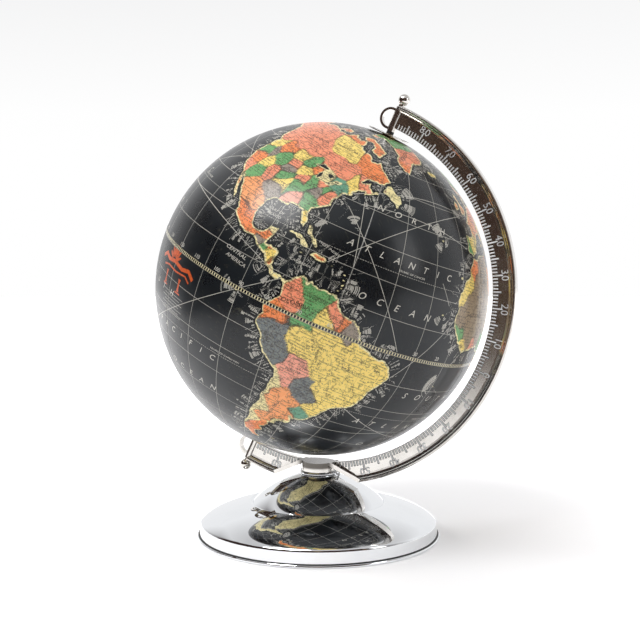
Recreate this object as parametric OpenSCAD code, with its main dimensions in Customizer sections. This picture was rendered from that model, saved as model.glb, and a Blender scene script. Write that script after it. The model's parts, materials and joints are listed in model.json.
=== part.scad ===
// Desktop globe on a stand: a card globe in a cast half meridian over a spun, weighted base.
// The origin is the middle of the face that rests on the table, and +Z is up. The meridian
// arm lies in the XZ plane and bulges towards +X, and the north pole leans towards +X.

/* [Globe] */
// Outside diameter of the globe
globe_d = 304.8; // [240:0.4:370]
// Thickness of the pressed card shell
shell_t = 2.8; // [1.6:0.1:5]
// Thickness of the varnished paper gores
gore_t = 0.3; // [0.2:0.05:0.5]
// Number of paper gores round each hemisphere
gore_count = 12; // [8:2:18]
// Lean of the globe's axis from the vertical, in degrees
axis_tilt = 25; // [18:0.5:30]

/* [Meridian arm] */
// Gap between the globe and the inner edge of the arm
arm_gap = 8.2; // [6:0.1:14]
// Radial width of the flat face that carries the scale
web_w = 16.8; // [12:0.2:24]
// Thickness of the web from front to back
web_t = 6; // [4:0.5:9]
// Radial thickness of the outer rim
rim_t = 3.6; // [2.4:0.1:5]
// Depth of the outer rim from front to back
rim_d = 11; // [9.5:0.5:16]
// Radius of the boss that stands on the base
boss_r = 15.3; // [13:0.1:20]
// Height of the boss at its middle
boss_h = 8.4; // [7.6:0.1:14]
// Distance of each rim corner from the boss's centre line
gusset_reach = 42; // [34:1:56]
// Depth of the slanting rim where it meets the boss
gusset_d = 17; // [11:0.5:22]

/* [Pole fittings] */
// Diameter of the two pivot pins
pin_d = 4; // [3:0.1:6]
// Diameter of the ball on the outer end of each pin
ball_d = 10.6; // [9:0.1:14]
// Outside diameter of the sleeve at each end of the arm
sleeve_d = 8; // [7.6:0.1:11]
// Outside radius of the loop on each sleeve
loop_r = 9.8; // [8.5:0.1:12]
// Width of the loop's band, from front to back
loop_d = 5.5; // [4:0.5:9]
// Radius of the hour dial
dial_r = 20; // [15:0.5:28]
// Thickness of the hour dial
dial_t = 0.8; // [0.6:0.1:1.5]
// Length of each pin inside the globe's shell
pin_inside = 4; // [2:0.5:12]

/* [Base] */
// Radius of the foot ring
foot_r = 113; // [95:1:140]
// Height of the foot ring
foot_h = 3; // [2:0.1:6]
// Height of the top of the upright band above the table
band_top = 13; // [9.5:0.5:18]
// Slope of the dish where it meets the band
edge_slope = 42; // [32:1:52]
// Radius of the ridge between the dish and the dome
ridge_r = 64; // [54:1:74]
// Height of the ridge
ridge_z = 33; // [31:0.5:40]
// Height of the flat on top of the dome
dome_z = 58; // [52:0.5:70]
// Thickness of the spun sheet
sheet_t = 1.2; // [0.8:0.1:2]
// Radius of the turned collar on the dome
collar_r = 17.2; // [16:0.1:22]
// Height of the turned collar
collar_h = 3; // [2:0.1:6]

/* [Weight and fixings] */
// Radius of the cast weight's plate
weight_r = 88; // [70:1:92]
// Thickness of the cast weight's plate
weight_t = 6; // [5:0.5:10]
// Radius of the column in the middle of the weight
column_r = 13; // [12:0.5:15]
// Thread diameter of the fixing bolt
bolt_d = 8; // [6:0.5:8]
// Thickness of the fibre board under the weight
board_t = 3; // [2.5:0.1:6]
// Thickness of the felt pad
felt_t = 1.2; // [0.8:0.1:2]
// Number of screws that hold the board to the weight
board_screw_count = 3; // [2:1:6]
// Shank diameter of the board screws
board_screw_d = 4; // [3:0.1:5]

/* [Clearances] */
// Radial gap of a running fit, such as a pin in its ferrule
run_gap = 0.05; // [0.02:0.01:0.08]
// Gap between pieces that are fixed together
seat_gap = 0.05; // [0.02:0.01:0.08]
// End gap between the globe's ferrules and their spacers
end_gap = 0.1; // [0.05:0.05:0.4]

/* [Hidden] */

$fn = 120;
eps = 0.01;
far = 60;

// Globe and arm
globe_r = globe_d / 2;
shell_r = globe_r - gore_t - seat_gap;
shell_in_r = shell_r - shell_t;
arm_in_r = globe_r + arm_gap;
crease_arm_r = arm_in_r + web_w;
arm_out_r = crease_arm_r + rim_t;
centre_shift = 3.5;
collar_top = dome_z + collar_h;
centre_z = collar_top + seat_gap + boss_h + arm_in_r;
down_angle = -90 - asin(centre_shift / arm_in_r);
corner_spread = asin(gusset_reach / arm_out_r);
root_depth = 3;
root_spread = asin((boss_r - root_depth) / arm_in_r);

// Distances along the globe's axis, from its centre
ferrule_flange_t = 0.6;
ferrule_flange_r = 6.5;
ferrule_tube_r = pin_d / 2 + 1.9;
ferrule_hub_r = pin_d / 2 + 1;
ferrule_seat = globe_r + seat_gap;
dial_seat = ferrule_seat + ferrule_flange_t + seat_gap;
hub_end = dial_seat + dial_t + 0.2;
spacer_r = sleeve_d / 2 - 0.6;
sleeve_start = globe_r + 4.6;
sleeve_end = arm_out_r - 1.5;
pin_start = shell_in_r - pin_inside;
shoulder_start = sleeve_end + seat_gap;
ball_c = shoulder_start + 1.6 + ball_d / 2;
loop_band = 2.2;
loop_offset = 4.5;
loop_c = sleeve_start + loop_r + 0.6;
washer_t = 1.4;
washer_r = 9;
joint_ring_h = 24;
joint_ring_t = 2;
equator_band_h = 3.2;
equator_band_t = 0.15;
gore_seam = 0.04;

// Base
band_r = foot_r - 2;
band_round = 3.5;
band_bottom = foot_h + 0.6;
band_lean = 0.5;
ridge_slope = 12;
ridge_round = 1.5;
edge_c = [band_r - band_lean - band_round, band_top];
dish_start = [ridge_r, ridge_z - ridge_round] + ridge_round * [sin(ridge_slope), cos(ridge_slope)];
dish_end = edge_c + band_round * [sin(edge_slope), cos(edge_slope)];
shell_hole_r = bolt_d / 2 + 0.2;
board_r = foot_r - 9;
board_z = felt_t + seat_gap;
weight_z = board_z + board_t + seat_gap;
column_top = dome_z - sheet_t - seat_gap;
bolt_head_h = 5.3;
bolt_head_r = bolt_d * 0.92;
lock_washer_t = 2;
flat_washer_t = 1.6;
bolt_washer_r = bolt_d + 0.4;
recess_r = bolt_washer_r + 0.6;
bolt_head_z = weight_z + 0.4;
lock_washer_z = bolt_head_z + bolt_head_h + seat_gap;
flat_washer_z = lock_washer_z + lock_washer_t + seat_gap;
recess_top = flat_washer_z + flat_washer_t + seat_gap;
bolt_end = collar_top + boss_h - 2.4;
board_screw_pcd_r = weight_r - 16;
board_screw_head_r = board_screw_d / 2 + 1.6;
board_screw_head_h = 1.5;
board_screw_len = board_t + weight_t - 1;

// Points on a circular arc from angle a0 to a1
function arc(c, r, a0, a1, n) =
    [for (i = [0:n]) let (a = a0 + (a1 - a0) * i / n) [c[0] + r * cos(a), c[1] + r * sin(a)]];

// Points on a curve from p0 to p2 that is drawn towards p1
function bend(p0, p1, p2, n) =
    [for (i = [0:n]) let (t = i / n) (1 - t) * (1 - t) * p0 + 2 * t * (1 - t) * p1 + t * t * p2];

function unit(v) = v / norm(v);

// The outline moved inwards by t, square to its own run
function inset(pts, t) =
    [for (i = [0:len(pts) - 1])
        let (a = pts[max(i - 1, 0)], b = pts[min(i + 1, len(pts) - 1)], d = unit(b - a))
        pts[i] + t * [-d[1], d[0]]];

// Place a piece that is drawn round +Z on the globe's own axis
module on_axis() {
    translate([centre_shift, 0, centre_z])
        rotate([0, axis_tilt, 0])
            children();
}

// The same, with +Z pointing out of the south pole and the arm still on the +X side
module on_south_axis() {
    on_axis()
        mirror([0, 0, 1])
            children();
}

// A tube between two heights
module tube(r_out, r_in, z0, z1) {
    translate([0, 0, z0])
        difference() {
            cylinder(r = r_out, h = z1 - z0);
            translate([0, 0, -eps])
                cylinder(r = r_in, h = z1 - z0 + 2 * eps);
        }
}

// ---------------------------------------------------------------- base

// Where the tangents at two points of the dish meet, given their slopes
function tangents_meet(p, slope_p, q, slope_q) =
    let (u = [cos(slope_p), -sin(slope_p)], v = [cos(slope_q), -sin(slope_q)], d = q - p)
    p + u * (d[0] * v[1] - d[1] * v[0]) / (u[0] * v[1] - u[1] * v[0]);

// Outside of the spun shell, from the dome's flat down to the band's lower edge
function shell_outline() = concat(
    [[collar_r * 0.5, dome_z]],
    bend([collar_r, dome_z], [ridge_r - 14, dome_z - 12], [ridge_r - 2.6, ridge_z - 1], 14),
    arc([ridge_r, ridge_z - ridge_round], ridge_round, 150, 95, 3),
    bend(dish_start, tangents_meet(dish_start, ridge_slope, dish_end, edge_slope), dish_end, 16),
    arc(edge_c, band_round, 80 - edge_slope, 0, 4),
    [[band_r, band_bottom]]);

module base_shell() {
    outer = shell_outline();
    inner = inset(outer, -sheet_t);
    last = len(outer) - 1;
    lip = [[band_r, band_bottom], [band_r - sheet_t, band_bottom]];
    wall = [for (i = [last - 1:-1:0]) inner[i]];
    color("silver")
        rotate_extrude()
            polygon(concat([[shell_hole_r, dome_z]], outer, [lip[1]], wall,
                           [[shell_hole_r, dome_z - sheet_t]]));
}

module foot_ring() {
    round_r = foot_h / 2;
    color("silver")
        rotate_extrude()
            polygon(concat(
                [[board_r + seat_gap, 0]],
                arc([foot_r - round_r, round_r], round_r, -90, 90, 10),
                [[band_r - 1, foot_h], [band_r - 1, band_bottom - seat_gap],
                 [board_r + seat_gap, band_bottom - seat_gap]]));
}

module felt_pad() {
    color("darkgreen")
        cylinder(r = board_r - 4, h = felt_t);
}

module board_screw_ring() {
    for (i = [0:board_screw_count - 1])
        rotate([0, 0, 360 / board_screw_count * (i + 0.5)])
            translate([board_screw_pcd_r, 0, 0])
                children();
}

module base_board() {
    color("peru")
        difference() {
            translate([0, 0, board_z])
                cylinder(r = board_r, h = board_t);
            board_screw_ring() {
                translate([0, 0, board_z - eps])
                    cylinder(r = board_screw_head_r + seat_gap, h = board_screw_head_h + seat_gap);
                translate([0, 0, board_z])
                    cylinder(r = board_screw_d / 2 + seat_gap, h = board_t + eps);
            }
        }
}

module board_screws() {
    color("dimgray")
        board_screw_ring()
            difference() {
                union() {
                    translate([0, 0, board_z])
                        cylinder(r = board_screw_head_r, h = board_screw_head_h);
                    translate([0, 0, board_z + board_screw_head_h - eps])
                        cylinder(r = board_screw_d / 2, h = board_screw_len - board_screw_head_h);
                }
                translate([-far / 2, -0.4, board_z - eps])
                    cube([far, 0.8, 0.6]);
            }
}

module ballast_weight() {
    color("dimgray")
        difference() {
            union() {
                translate([0, 0, weight_z])
                    cylinder(r = weight_r, h = weight_t);
                translate([0, 0, weight_z])
                    cylinder(r = column_r, h = column_top - weight_z);
            }
            translate([0, 0, weight_z - eps])
                cylinder(r = recess_r, h = recess_top - weight_z + eps);
            translate([0, 0, recess_top - eps])
                cylinder(r = shell_hole_r, h = column_top - recess_top + 2 * eps);
            board_screw_ring()
                translate([0, 0, weight_z - eps])
                    cylinder(r = board_screw_d / 2 + seat_gap,
                             h = board_z + board_screw_len + 0.5 - weight_z);
        }
}

module fixing_bolt() {
    color("dimgray")
        union() {
            translate([0, 0, bolt_head_z])
                cylinder(r = bolt_head_r, h = bolt_head_h, $fn = 6);
            translate([0, 0, bolt_head_z + bolt_head_h - eps])
                cylinder(r = bolt_d / 2, h = bolt_end - bolt_head_z - bolt_head_h + eps);
        }
}

module lock_washer() {
    color("gray")
        difference() {
            tube(bolt_washer_r - 1.4, shell_hole_r, lock_washer_z, lock_washer_z + lock_washer_t);
            translate([0, -0.6, lock_washer_z - eps])
                cube([far, 1.2, lock_washer_t + 2 * eps]);
        }
}

module flat_washer() {
    color("gray")
        tube(bolt_washer_r, shell_hole_r, flat_washer_z, flat_washer_z + flat_washer_t);
}

module neck_collar() {
    round_r = (collar_h - seat_gap) / 2;
    mid = dome_z + seat_gap + round_r;
    color("gainsboro")
        rotate_extrude()
            polygon(concat(
                [[shell_hole_r, dome_z + seat_gap]],
                arc([collar_r - round_r, mid], round_r, -90, 90, 10),
                [[shell_hole_r, collar_top]]));
}

// ---------------------------------------------------------------- meridian arm

// A point of the arm's plane at radius r and angle a round the globe's centre
function arm_point(r, a) = [centre_shift + r * cos(a), centre_z + r * sin(a)];

// Section of the arm: a flat web, a small cove and a rounded rim, as [radius, depth]
function arm_section() =
    let (web = web_t / 2, rim = rim_d / 2, edge = 0.4,
         half = concat(
             [[arm_in_r, edge - web], [arm_in_r + edge, -web]],
             bend([crease_arm_r - 4.2, -web], [crease_arm_r - 1, -web],
                  [crease_arm_r - 0.3, -web - 1.5], 4),
             [[crease_arm_r, -web - 1.5]],
             arc([arm_out_r - rim_t / 2, -rim + rim_t / 2], rim_t / 2, 190, 360, 8)))
    concat(half, [for (i = [len(half) - 1:-1:0]) [half[i][0], -half[i][1]]]);

module arm_sweep() {
    translate([centre_shift, 0, centre_z])
        rotate([90, 0, 0])
            rotate([0, 0, -90 - axis_tilt])
                rotate_extrude(angle = 180)
                    polygon(arm_section());
}

// The side away from the globe of the two slanting walls, as one closed outline
module gusset_cut() {
    a = [down_angle - corner_spread, down_angle - root_spread,
         down_angle + root_spread, down_angle + corner_spread];
    rotate([90, 0, 0])
        linear_extrude(height = far, center = true)
            polygon([arm_point(arm_out_r + far, a[0]), arm_point(arm_out_r, a[0]),
                     arm_point(arm_in_r + 2, a[1]), arm_point(arm_in_r + 2, a[2]),
                     arm_point(arm_out_r, a[3]), arm_point(arm_out_r + far, a[3])]);
}

// One slanting wall, from the rim's corner to the boss; side is -1 or 1
module gusset_wall(side) {
    corner = arm_point(arm_out_r, down_angle + side * corner_spread);
    root = arm_point(arm_in_r + 2, down_angle + side * root_spread);
    run = root - corner;
    deep = gusset_d / 2;
    shallow = rim_d / 2;
    translate([corner[0], 0, corner[1]])
        rotate([0, -atan2(run[1], run[0]), 0])
            translate([0, 0, side < 0 ? 0 : -rim_t])
                linear_extrude(height = rim_t)
                    polygon([[0, -shallow], [norm(run), -deep], [norm(run), deep], [0, shallow]]);
}

module meridian_arm() {
    color("darkgray")
        difference() {
            union() {
                difference() {
                    arm_sweep();
                    gusset_cut();
                }
                for (side = [-1, 1])
                    gusset_wall(side);
                translate([0, 0, collar_top + seat_gap])
                    cylinder(r = boss_r, h = boss_h + 4);
            }
            translate([centre_shift, 0, centre_z])
                rotate([90, 0, 0])
                    cylinder(r = arm_in_r, h = far, center = true, $fn = 240);
            translate([0, 0, collar_top - 1])
                cylinder(r = bolt_d / 2 + seat_gap, h = bolt_end - collar_top + 1.4);
            on_axis()
                for (end = [-1, 1])
                    translate([0, 0, end * arm_in_r - far / 2])
                        cylinder(r = sleeve_d / 2 + seat_gap, h = far);
        }
}

// ---------------------------------------------------------------- pole fittings

// A sleeve with its loop, drawn for the north pole
module sleeve() {
    bore_r = pin_d / 2 + run_gap;
    difference() {
        union() {
            translate([0, 0, sleeve_start])
                cylinder(r = sleeve_d / 2, h = sleeve_end - sleeve_start);
            difference() {
                translate([-loop_offset, 0, loop_c])
                    rotate([90, 0, 0])
                        difference() {
                            cylinder(r = loop_r, h = loop_d, center = true);
                            cylinder(r = loop_r - loop_band, h = loop_d + 1, center = true);
                        }
                translate([0, -far / 2, loop_c - far / 2])
                    cube([far, far, far]);
            }
        }
        translate([0, 0, sleeve_start - eps])
            cylinder(r = bore_r, h = sleeve_end - sleeve_start + 2 * eps);
    }
}

module north_sleeve() {
    color("gray")
        on_axis()
            sleeve();
}

module south_sleeve() {
    color("gray")
        on_axis()
            rotate([180, 0, 0])
                sleeve();
}

module spacer() {
    tube(spacer_r, pin_d / 2 + run_gap, hub_end + end_gap, sleeve_start - seat_gap);
}

module north_spacer() {
    color("dimgray")
        on_axis()
            spacer();
}

module south_spacer() {
    color("dimgray")
        on_south_axis()
            spacer();
}

module pin() {
    translate([0, 0, pin_start])
        cylinder(r = pin_d / 2, h = ball_c - pin_start);
    translate([0, 0, shoulder_start])
        cylinder(r = pin_d / 2 + 1, h = 2.2);
}

module north_pin() {
    color("silver")
        on_axis()
            pin();
}

module south_pin() {
    color("silver")
        on_south_axis()
            pin();
}

module pin_ball() {
    difference() {
        translate([0, 0, ball_c])
            sphere(r = ball_d / 2);
        translate([0, 0, shoulder_start - 1])
            cylinder(r = pin_d / 2 + 1 + seat_gap, h = 3.2 + seat_gap);
        translate([0, 0, ball_c - ball_d])
            cylinder(r = pin_d / 2 + seat_gap, h = ball_d + seat_gap);
    }
}

module north_pin_ball() {
    color("silver")
        on_axis()
            pin_ball();
}

module south_pin_ball() {
    color("silver")
        on_south_axis()
            pin_ball();
}

module hour_dial() {
    color("darkgray")
        on_axis()
            tube(dial_r, ferrule_hub_r + run_gap, dial_seat, dial_seat + dial_t);
}

// ---------------------------------------------------------------- globe

// Half of a spherical wall between two radii, above z0, with a round hole at the pole
module half_wall(r_out, r_in, z0, hole_r) {
    difference() {
        sphere(r = r_out, $fn = 180);
        sphere(r = r_in, $fn = 180);
        translate([-globe_d, -globe_d, z0 - 2 * globe_d])
            cube([2 * globe_d, 2 * globe_d, 2 * globe_d]);
        cylinder(r = hole_r, h = globe_d);
    }
}

module hemisphere() {
    half_wall(shell_r, shell_in_r, seat_gap, ferrule_tube_r + seat_gap);
}

module north_hemisphere() {
    color("burlywood")
        on_axis()
            hemisphere();
}

module south_hemisphere() {
    color("burlywood")
        on_south_axis()
            hemisphere();
}

module equator_joint_ring() {
    color("tan")
        on_axis()
            rotate_extrude($fn = 180)
                intersection() {
                    difference() {
                        circle(r = shell_in_r - seat_gap, $fn = 360);
                        circle(r = shell_in_r - seat_gap - joint_ring_t, $fn = 360);
                    }
                    translate([0, -joint_ring_h / 2])
                        square([globe_d, joint_ring_h]);
                }
}

module equator_band() {
    color("ivory")
        on_axis()
            tube(globe_r + equator_band_t, globe_r + seat_gap / 2,
                 -equator_band_h / 2, equator_band_h / 2);
}

// The paper gores of one hemisphere, each its own solid
module gores() {
    step = 360 / gore_count;
    for (i = [0:gore_count - 1])
        rotate([0, 0, step * i])
            rotate_extrude(angle = step - gore_seam)
                difference() {
                    circle(r = globe_r, $fn = 360);
                    circle(r = globe_r - gore_t, $fn = 360);
                    translate([-2 * globe_r, -2 * globe_r])
                        square([4 * globe_r, 2 * globe_r + seat_gap]);
                    translate([ferrule_tube_r + seat_gap - 2 * globe_r, 0])
                        square([2 * globe_r, 2 * globe_r]);
                }
}

module north_gores() {
    color("darkslategray")
        on_axis()
            gores();
}

module south_gores() {
    color("darkslategray")
        on_south_axis()
            gores();
}

module ferrule() {
    difference() {
        union() {
            translate([0, 0, shell_in_r - washer_t - 1])
                cylinder(r = ferrule_tube_r, h = ferrule_seat - shell_in_r + washer_t + 1 + eps);
            translate([0, 0, ferrule_seat])
                cylinder(r = ferrule_flange_r, h = ferrule_flange_t);
            translate([0, 0, ferrule_seat])
                cylinder(r = ferrule_hub_r, h = hub_end - ferrule_seat);
        }
        translate([0, 0, shell_in_r - washer_t - 2])
            cylinder(r = pin_d / 2 + run_gap, h = far);
    }
}

module north_ferrule() {
    color("goldenrod")
        on_axis()
            ferrule();
}

module south_ferrule() {
    color("goldenrod")
        on_south_axis()
            ferrule();
}

module backing_washer() {
    rise = shell_in_r - sqrt(shell_in_r * shell_in_r - washer_r * washer_r);
    top = shell_in_r - rise - seat_gap;
    tube(washer_r, ferrule_tube_r + seat_gap, top - washer_t, top);
}

module north_backing_washer() {
    color("gray")
        on_axis()
            backing_washer();
}

module south_backing_washer() {
    color("gray")
        on_south_axis()
            backing_washer();
}

felt_pad();
base_board();
board_screws();
foot_ring();
base_shell();
ballast_weight();
fixing_bolt();
lock_washer();
flat_washer();
neck_collar();
meridian_arm();
north_sleeve();
south_sleeve();
north_spacer();
south_spacer();
north_pin();
north_pin_ball();
south_pin();
south_pin_ball();
north_hemisphere();
south_hemisphere();
equator_joint_ring();
equator_band();
north_gores();
south_gores();
north_ferrule();
south_ferrule();
north_backing_washer();
south_backing_washer();
hour_dial();
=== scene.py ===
"""Desktop globe on a stand: the printed map, the plated stand and a pale studio, built round its frame."""

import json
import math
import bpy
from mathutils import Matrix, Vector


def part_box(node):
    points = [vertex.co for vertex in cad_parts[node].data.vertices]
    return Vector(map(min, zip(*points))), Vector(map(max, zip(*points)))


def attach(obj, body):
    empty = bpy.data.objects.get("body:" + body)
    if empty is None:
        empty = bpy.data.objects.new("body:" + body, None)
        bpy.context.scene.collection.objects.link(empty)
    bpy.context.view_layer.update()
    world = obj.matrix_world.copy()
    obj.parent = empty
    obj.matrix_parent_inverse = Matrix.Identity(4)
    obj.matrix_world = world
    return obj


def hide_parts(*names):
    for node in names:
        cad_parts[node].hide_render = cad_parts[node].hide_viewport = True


bl_info = {
    "name": "Desktop globe",
    "version": (1, 0),
    "blender": (4, 5, 0),
    "location": "3D View > Sidebar > Globe",
    "description": "Builds the print, the scales, the finishes and the studio of a desktop globe",
    "category": "Object",
}

import bmesh
import bpy
import numpy as np
from bpy.props import FloatProperty, FloatVectorProperty, IntProperty, PointerProperty
from mathutils import Matrix, Vector, kdtree

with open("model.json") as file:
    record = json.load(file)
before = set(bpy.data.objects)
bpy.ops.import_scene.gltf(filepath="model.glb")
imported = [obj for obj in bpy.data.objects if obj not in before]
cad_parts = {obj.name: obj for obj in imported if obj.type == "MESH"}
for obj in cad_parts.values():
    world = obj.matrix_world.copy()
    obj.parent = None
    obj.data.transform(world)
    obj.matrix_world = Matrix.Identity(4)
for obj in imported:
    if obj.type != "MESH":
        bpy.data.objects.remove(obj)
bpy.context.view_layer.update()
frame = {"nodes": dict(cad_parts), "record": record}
MM = 0.001
DEGREES = 180 / math.pi

# how a plain coast run is broken up, in degrees: rounds of halving, push per side, shortest side split
COAST_ROUNDS = 7
COAST_PUSH = 0.075
COAST_SIDE = 0.3
# distance along the coasts kept between two rings, so that their lines of type differ
COAST_GAP = 50
BORDER_WAVES = 14
# small type: spacing of the lines and of the letters, in degrees
SEA_ROW = 0.8
SEA_LETTER = 0.3
LAND_ROW = 0.95
LAND_WORD = 2.3
LAND_LETTER = 0.3
TROPIC = 23.45
POLAR_CIRCLE = 66.55
# where the equator gap between the two halves of the print lies, in degrees of latitude
HALF_SEAM = 0.012
BAND_TURNS = 720
BASE_TURNS = 288
DOME_STEPS = 70
ROUND_STEPS = 12
# the camera stands here, with its back and its right-hand side along these ways
CAMERA_PLACE = (0.3653, -0.9085, 0.2602)
CAMERA_BACK = (0.3710, -0.9267, 0.0598)
CAMERA_RIGHT = (0.9284, 0.3717, 0)
# softboxes: name, place, aim, size, whose power, share of it, and whether the plating shows it
SOFTBOXES = (
    ("key", (-0.5, -1.2, 2.1), (0, 0, 0.2), (1.3, 0.9), "key", 1, True),
    ("left", (-1.9, 0.5, 1.5), (0, 0, 0.15), (0.9, 0.9), "key", 0.8, False),
    ("side", (2.0, -0.3, 1.0), (0, 0, 0.2), (0.5, 0.9), "side", 1, True),
)


# ---------------------------------------------------------------- geography, as "longitude,latitude" runs
MAINLANDS = {
    "north_america": """-168,66 -163,70 -156,71.3 -145,70 -136,69 -128,70 -120,69.5 -110,68 -100,68
        -95,71.5 -90,69 -87,68 -82,69.5 -80,67 -81,64.5 -78,62.7 -73,62 -70,60.5 -69.5,58.8 -66,58.8
        -64,60.3 -61.5,57 -58,54.5 -55.8,52.3 -59,50.3 -66,50.2 -69,48 -65,49 -64.5,47 -63,45.8
        -60.5,46.8 -60,45.8 -64,44.3 -66,43.5 -66,45 -69,44 -70.7,42.5 -70,41.6 -74,40.6 -75.5,38
        -76,36.8 -75.5,35.3 -77.5,34 -81,31.8 -81.3,30 -80,27 -80.4,25.2 -81.8,26 -82.8,28 -83.8,30
        -86,30.4 -89,30.3 -89.3,29 -91,29.3 -94,29.6 -97,27.8 -97.3,25.5 -97.8,22.5 -96.5,19.5 -95,18.5
        -92,18.6 -90.6,19.8 -90.3,21.2 -87,21.5 -87.5,19.5 -88.2,17.5 -88.6,15.9 -84.5,15.9 -83.3,15
        -83.7,12.5 -83.5,10.8 -82,9 -79.8,9.5 -77.5,8.6 -77.8,7.3 -79.5,8.8 -80.5,7.4 -82.8,8.2 -84,9.8
        -85.8,10.3 -87.5,12.9 -91,14 -94,16.2 -97,15.9 -101,17.5 -105.5,20 -105.3,21.5 -108.5,25
        -112.5,29.5 -114.8,31.6 -113,29 -110.5,25.2 -109.5,23 -112,25 -114.5,28 -115.8,30.3 -117.2,32.5
        -120.6,34.5 -122.5,37.5 -124.3,40.4 -124,46 -124.5,48.3 -123,49 -127.5,51 -130,54.5 -133.5,57.5
        -137,58.8 -142,60 -148,60.5 -152,59.2 -156,57.5 -162,55 -158,58.5 -162,60 -165,61.5 -161,64
        -166,64.5""",
    "south_america": """-77.5,8.6 -75.5,10.6 -72,12 -71,11 -71.5,9.3 -70,11.8 -68,10.7 -64,10.5
        -61.8,10.7 -60,8.5 -57,6 -53.5,5.6 -51.5,4.5 -50,1.5 -49,-0.5 -44.5,-2.5 -40,-2.9 -36.5,-5
        -35,-8 -37,-11.5 -39,-14.5 -39.2,-17.5 -41,-21.5 -43.5,-23 -47,-24.5 -48.6,-27 -50,-29.8
        -53.5,-33.8 -57,-35 -58.4,-34 -57.3,-36.5 -58.5,-38.3 -62.2,-39 -62.5,-41 -65,-41 -64.5,-43
        -67.5,-46 -65.8,-47.8 -69,-50.5 -68.5,-52.5 -65.3,-54.8 -70,-55.3 -74.5,-52 -75.5,-48 -74,-44
        -73.7,-38 -71.6,-33 -71.5,-29 -70.3,-24 -70.3,-18.4 -72.5,-17 -76.3,-13.8 -78,-10 -81.2,-6
        -80,-3 -80.9,-1 -79.8,0.8 -78.7,1.8 -77.2,4 -77.8,7.3""",
    "greenland": """-73,78.3 -62,76 -57,74 -54,71 -51.5,68.5 -53,66 -50,62.5 -48,61 -44,59.9 -42.5,61.5
        -40,65 -33,67.5 -26,68.7 -22,70.5 -20,74 -18,77 -12,81.5 -25,83 -40,83 -55,82.2 -66,80.3""",
    "africa": """-17.3,14.7 -16.5,12.5 -13.3,9 -7.5,4.3 -4,5.2 1,6 4.5,6.3 6,4.3 9.5,4 9.5,1 8.8,-0.8
        12,-5 13.5,-9 12,-15 12,-18 14.5,-22.5 15.2,-27 18.2,-32 18.5,-34.3 20,-34.8 25.5,-34 30.5,-30.5
        32.7,-27 35.5,-24 35,-20 40.5,-15.5 40.5,-10.5 39,-6 41.5,-1.8 46,2.5 49,7 51.2,11.8 44,10.5
        42.8,12.5 39,15.5 37,20 35.3,24 32.6,29.8 32.5,31.2 29,30.9 25,31.7 20,31 19.5,30.4 15.5,32.3
        11,33.5 10.5,36.5 9.5,37.3 3,36.9 -2,35.1 -5.6,35.9 -7,33.8 -9.7,31.5 -9.8,29.5 -13,27.8
        -16,23.5 -17,21 -16.2,18.5""",
    "eurasia": """-9.4,38.7 -8.8,41.8 -9,43.2 -1.8,43.4 -1.2,46 -4.7,48.3 -1.6,48.7 1.6,50.7 4.5,52.5
        8,53.7 8.2,57 10.6,57.7 10,55 11,54 14.5,54 19,54.4 21,57 24,57.2 23.5,59.3 30,60 23,60 21.5,62
        25.3,65 22,65.8 17.5,62 18,60 16.5,57 14.2,55.4 12.8,55.6 11,59 7,58 5,61 10,64 15,68.5 25,71
        31,70 40,67.5 40,64.5 36,64 38,64 44,66 44,68.5 54,68.5 68,68.3 67,72 72,72.8 75,72 80,73.5
        104,77.6 113,74 128,73 140,72.5 160,70 170,70 180,68.8 190,66 180,65 179,62.3 170,60 163,60
        162,56 157,51 155.5,57 160,61.5 156,61.7 151,59 142,59 135,54.7 141,53 140,48.5 135,44 131,43
        127.5,39.5 129.3,36 126.5,34.5 125,38 121.5,39 121.5,40.8 118,39 122,37.3 119.3,35 121.8,31.5
        121,28 117,23.5 111,21.5 108.5,21.7 106,19 109,13 107,10.4 105,9 104.8,10.5 100.8,12.8 99.3,10
        102,6.3 104,1.4 101.3,3 98.3,8 98.5,14 97,17 94.5,16 94,19 91,22.5 87,21.5 82,16.5 80.2,13
        79.8,10.3 77.5,8 76,11 73,17 72.5,21 69,22.2 66.5,25.3 61,25.2 57.5,25.8 56.5,27 52,27.5
        48.5,30.2 50,26.5 51.5,24.5 56,25.8 59.8,22.5 57,18.8 52,15.8 45,12.8 43,14.5 42.5,17 39,21
        35,28 35,29.5 34.2,31.2 36,36.5 30,36.5 27.3,37 26.5,39.5 30,41.2 36,41.7 41.5,41.6 37.5,45
        39,47.2 35,46.3 33.5,44.5 31,46.6 28.5,44 28,41.5 23.5,40.5 24,37.7 22.5,36.6 21,38.5 19.4,41.8
        13.7,45.5 12.4,44.2 16,41.7 18.5,40 16,38 15.5,40 12.3,41.8 8.8,44.3 4,43.5 3,41.8 -0.3,39.3
        -1,37.6 -5.5,36 -8.8,37""",
    "australia": """114,-22 114,-26 115.7,-32 115,-34.3 118,-35 123.5,-33.9 129,-31.7 134,-32.7
        137.8,-33 136,-35 140,-38 143.5,-38.8 147,-38.2 150,-37.3 153,-31 153,-25.5 149,-20.5 146,-18.5
        145.3,-15 142.5,-10.8 141,-16.5 136,-15 137,-12.2 132,-11.3 129.5,-15 126,-14 122,-18""",
    "antarctica": """-180,-78 -150,-77 -120,-74 -100,-73 -75,-72 -65,-67 -57,-63.3 -61,-70 -60,-75
        -35,-78 -20,-73 0,-70 30,-69 60,-67 80,-68 110,-66 140,-67 165,-71 168,-77 179.9,-78 179.9,-89.9
        -180,-89.9""",
}
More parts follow.
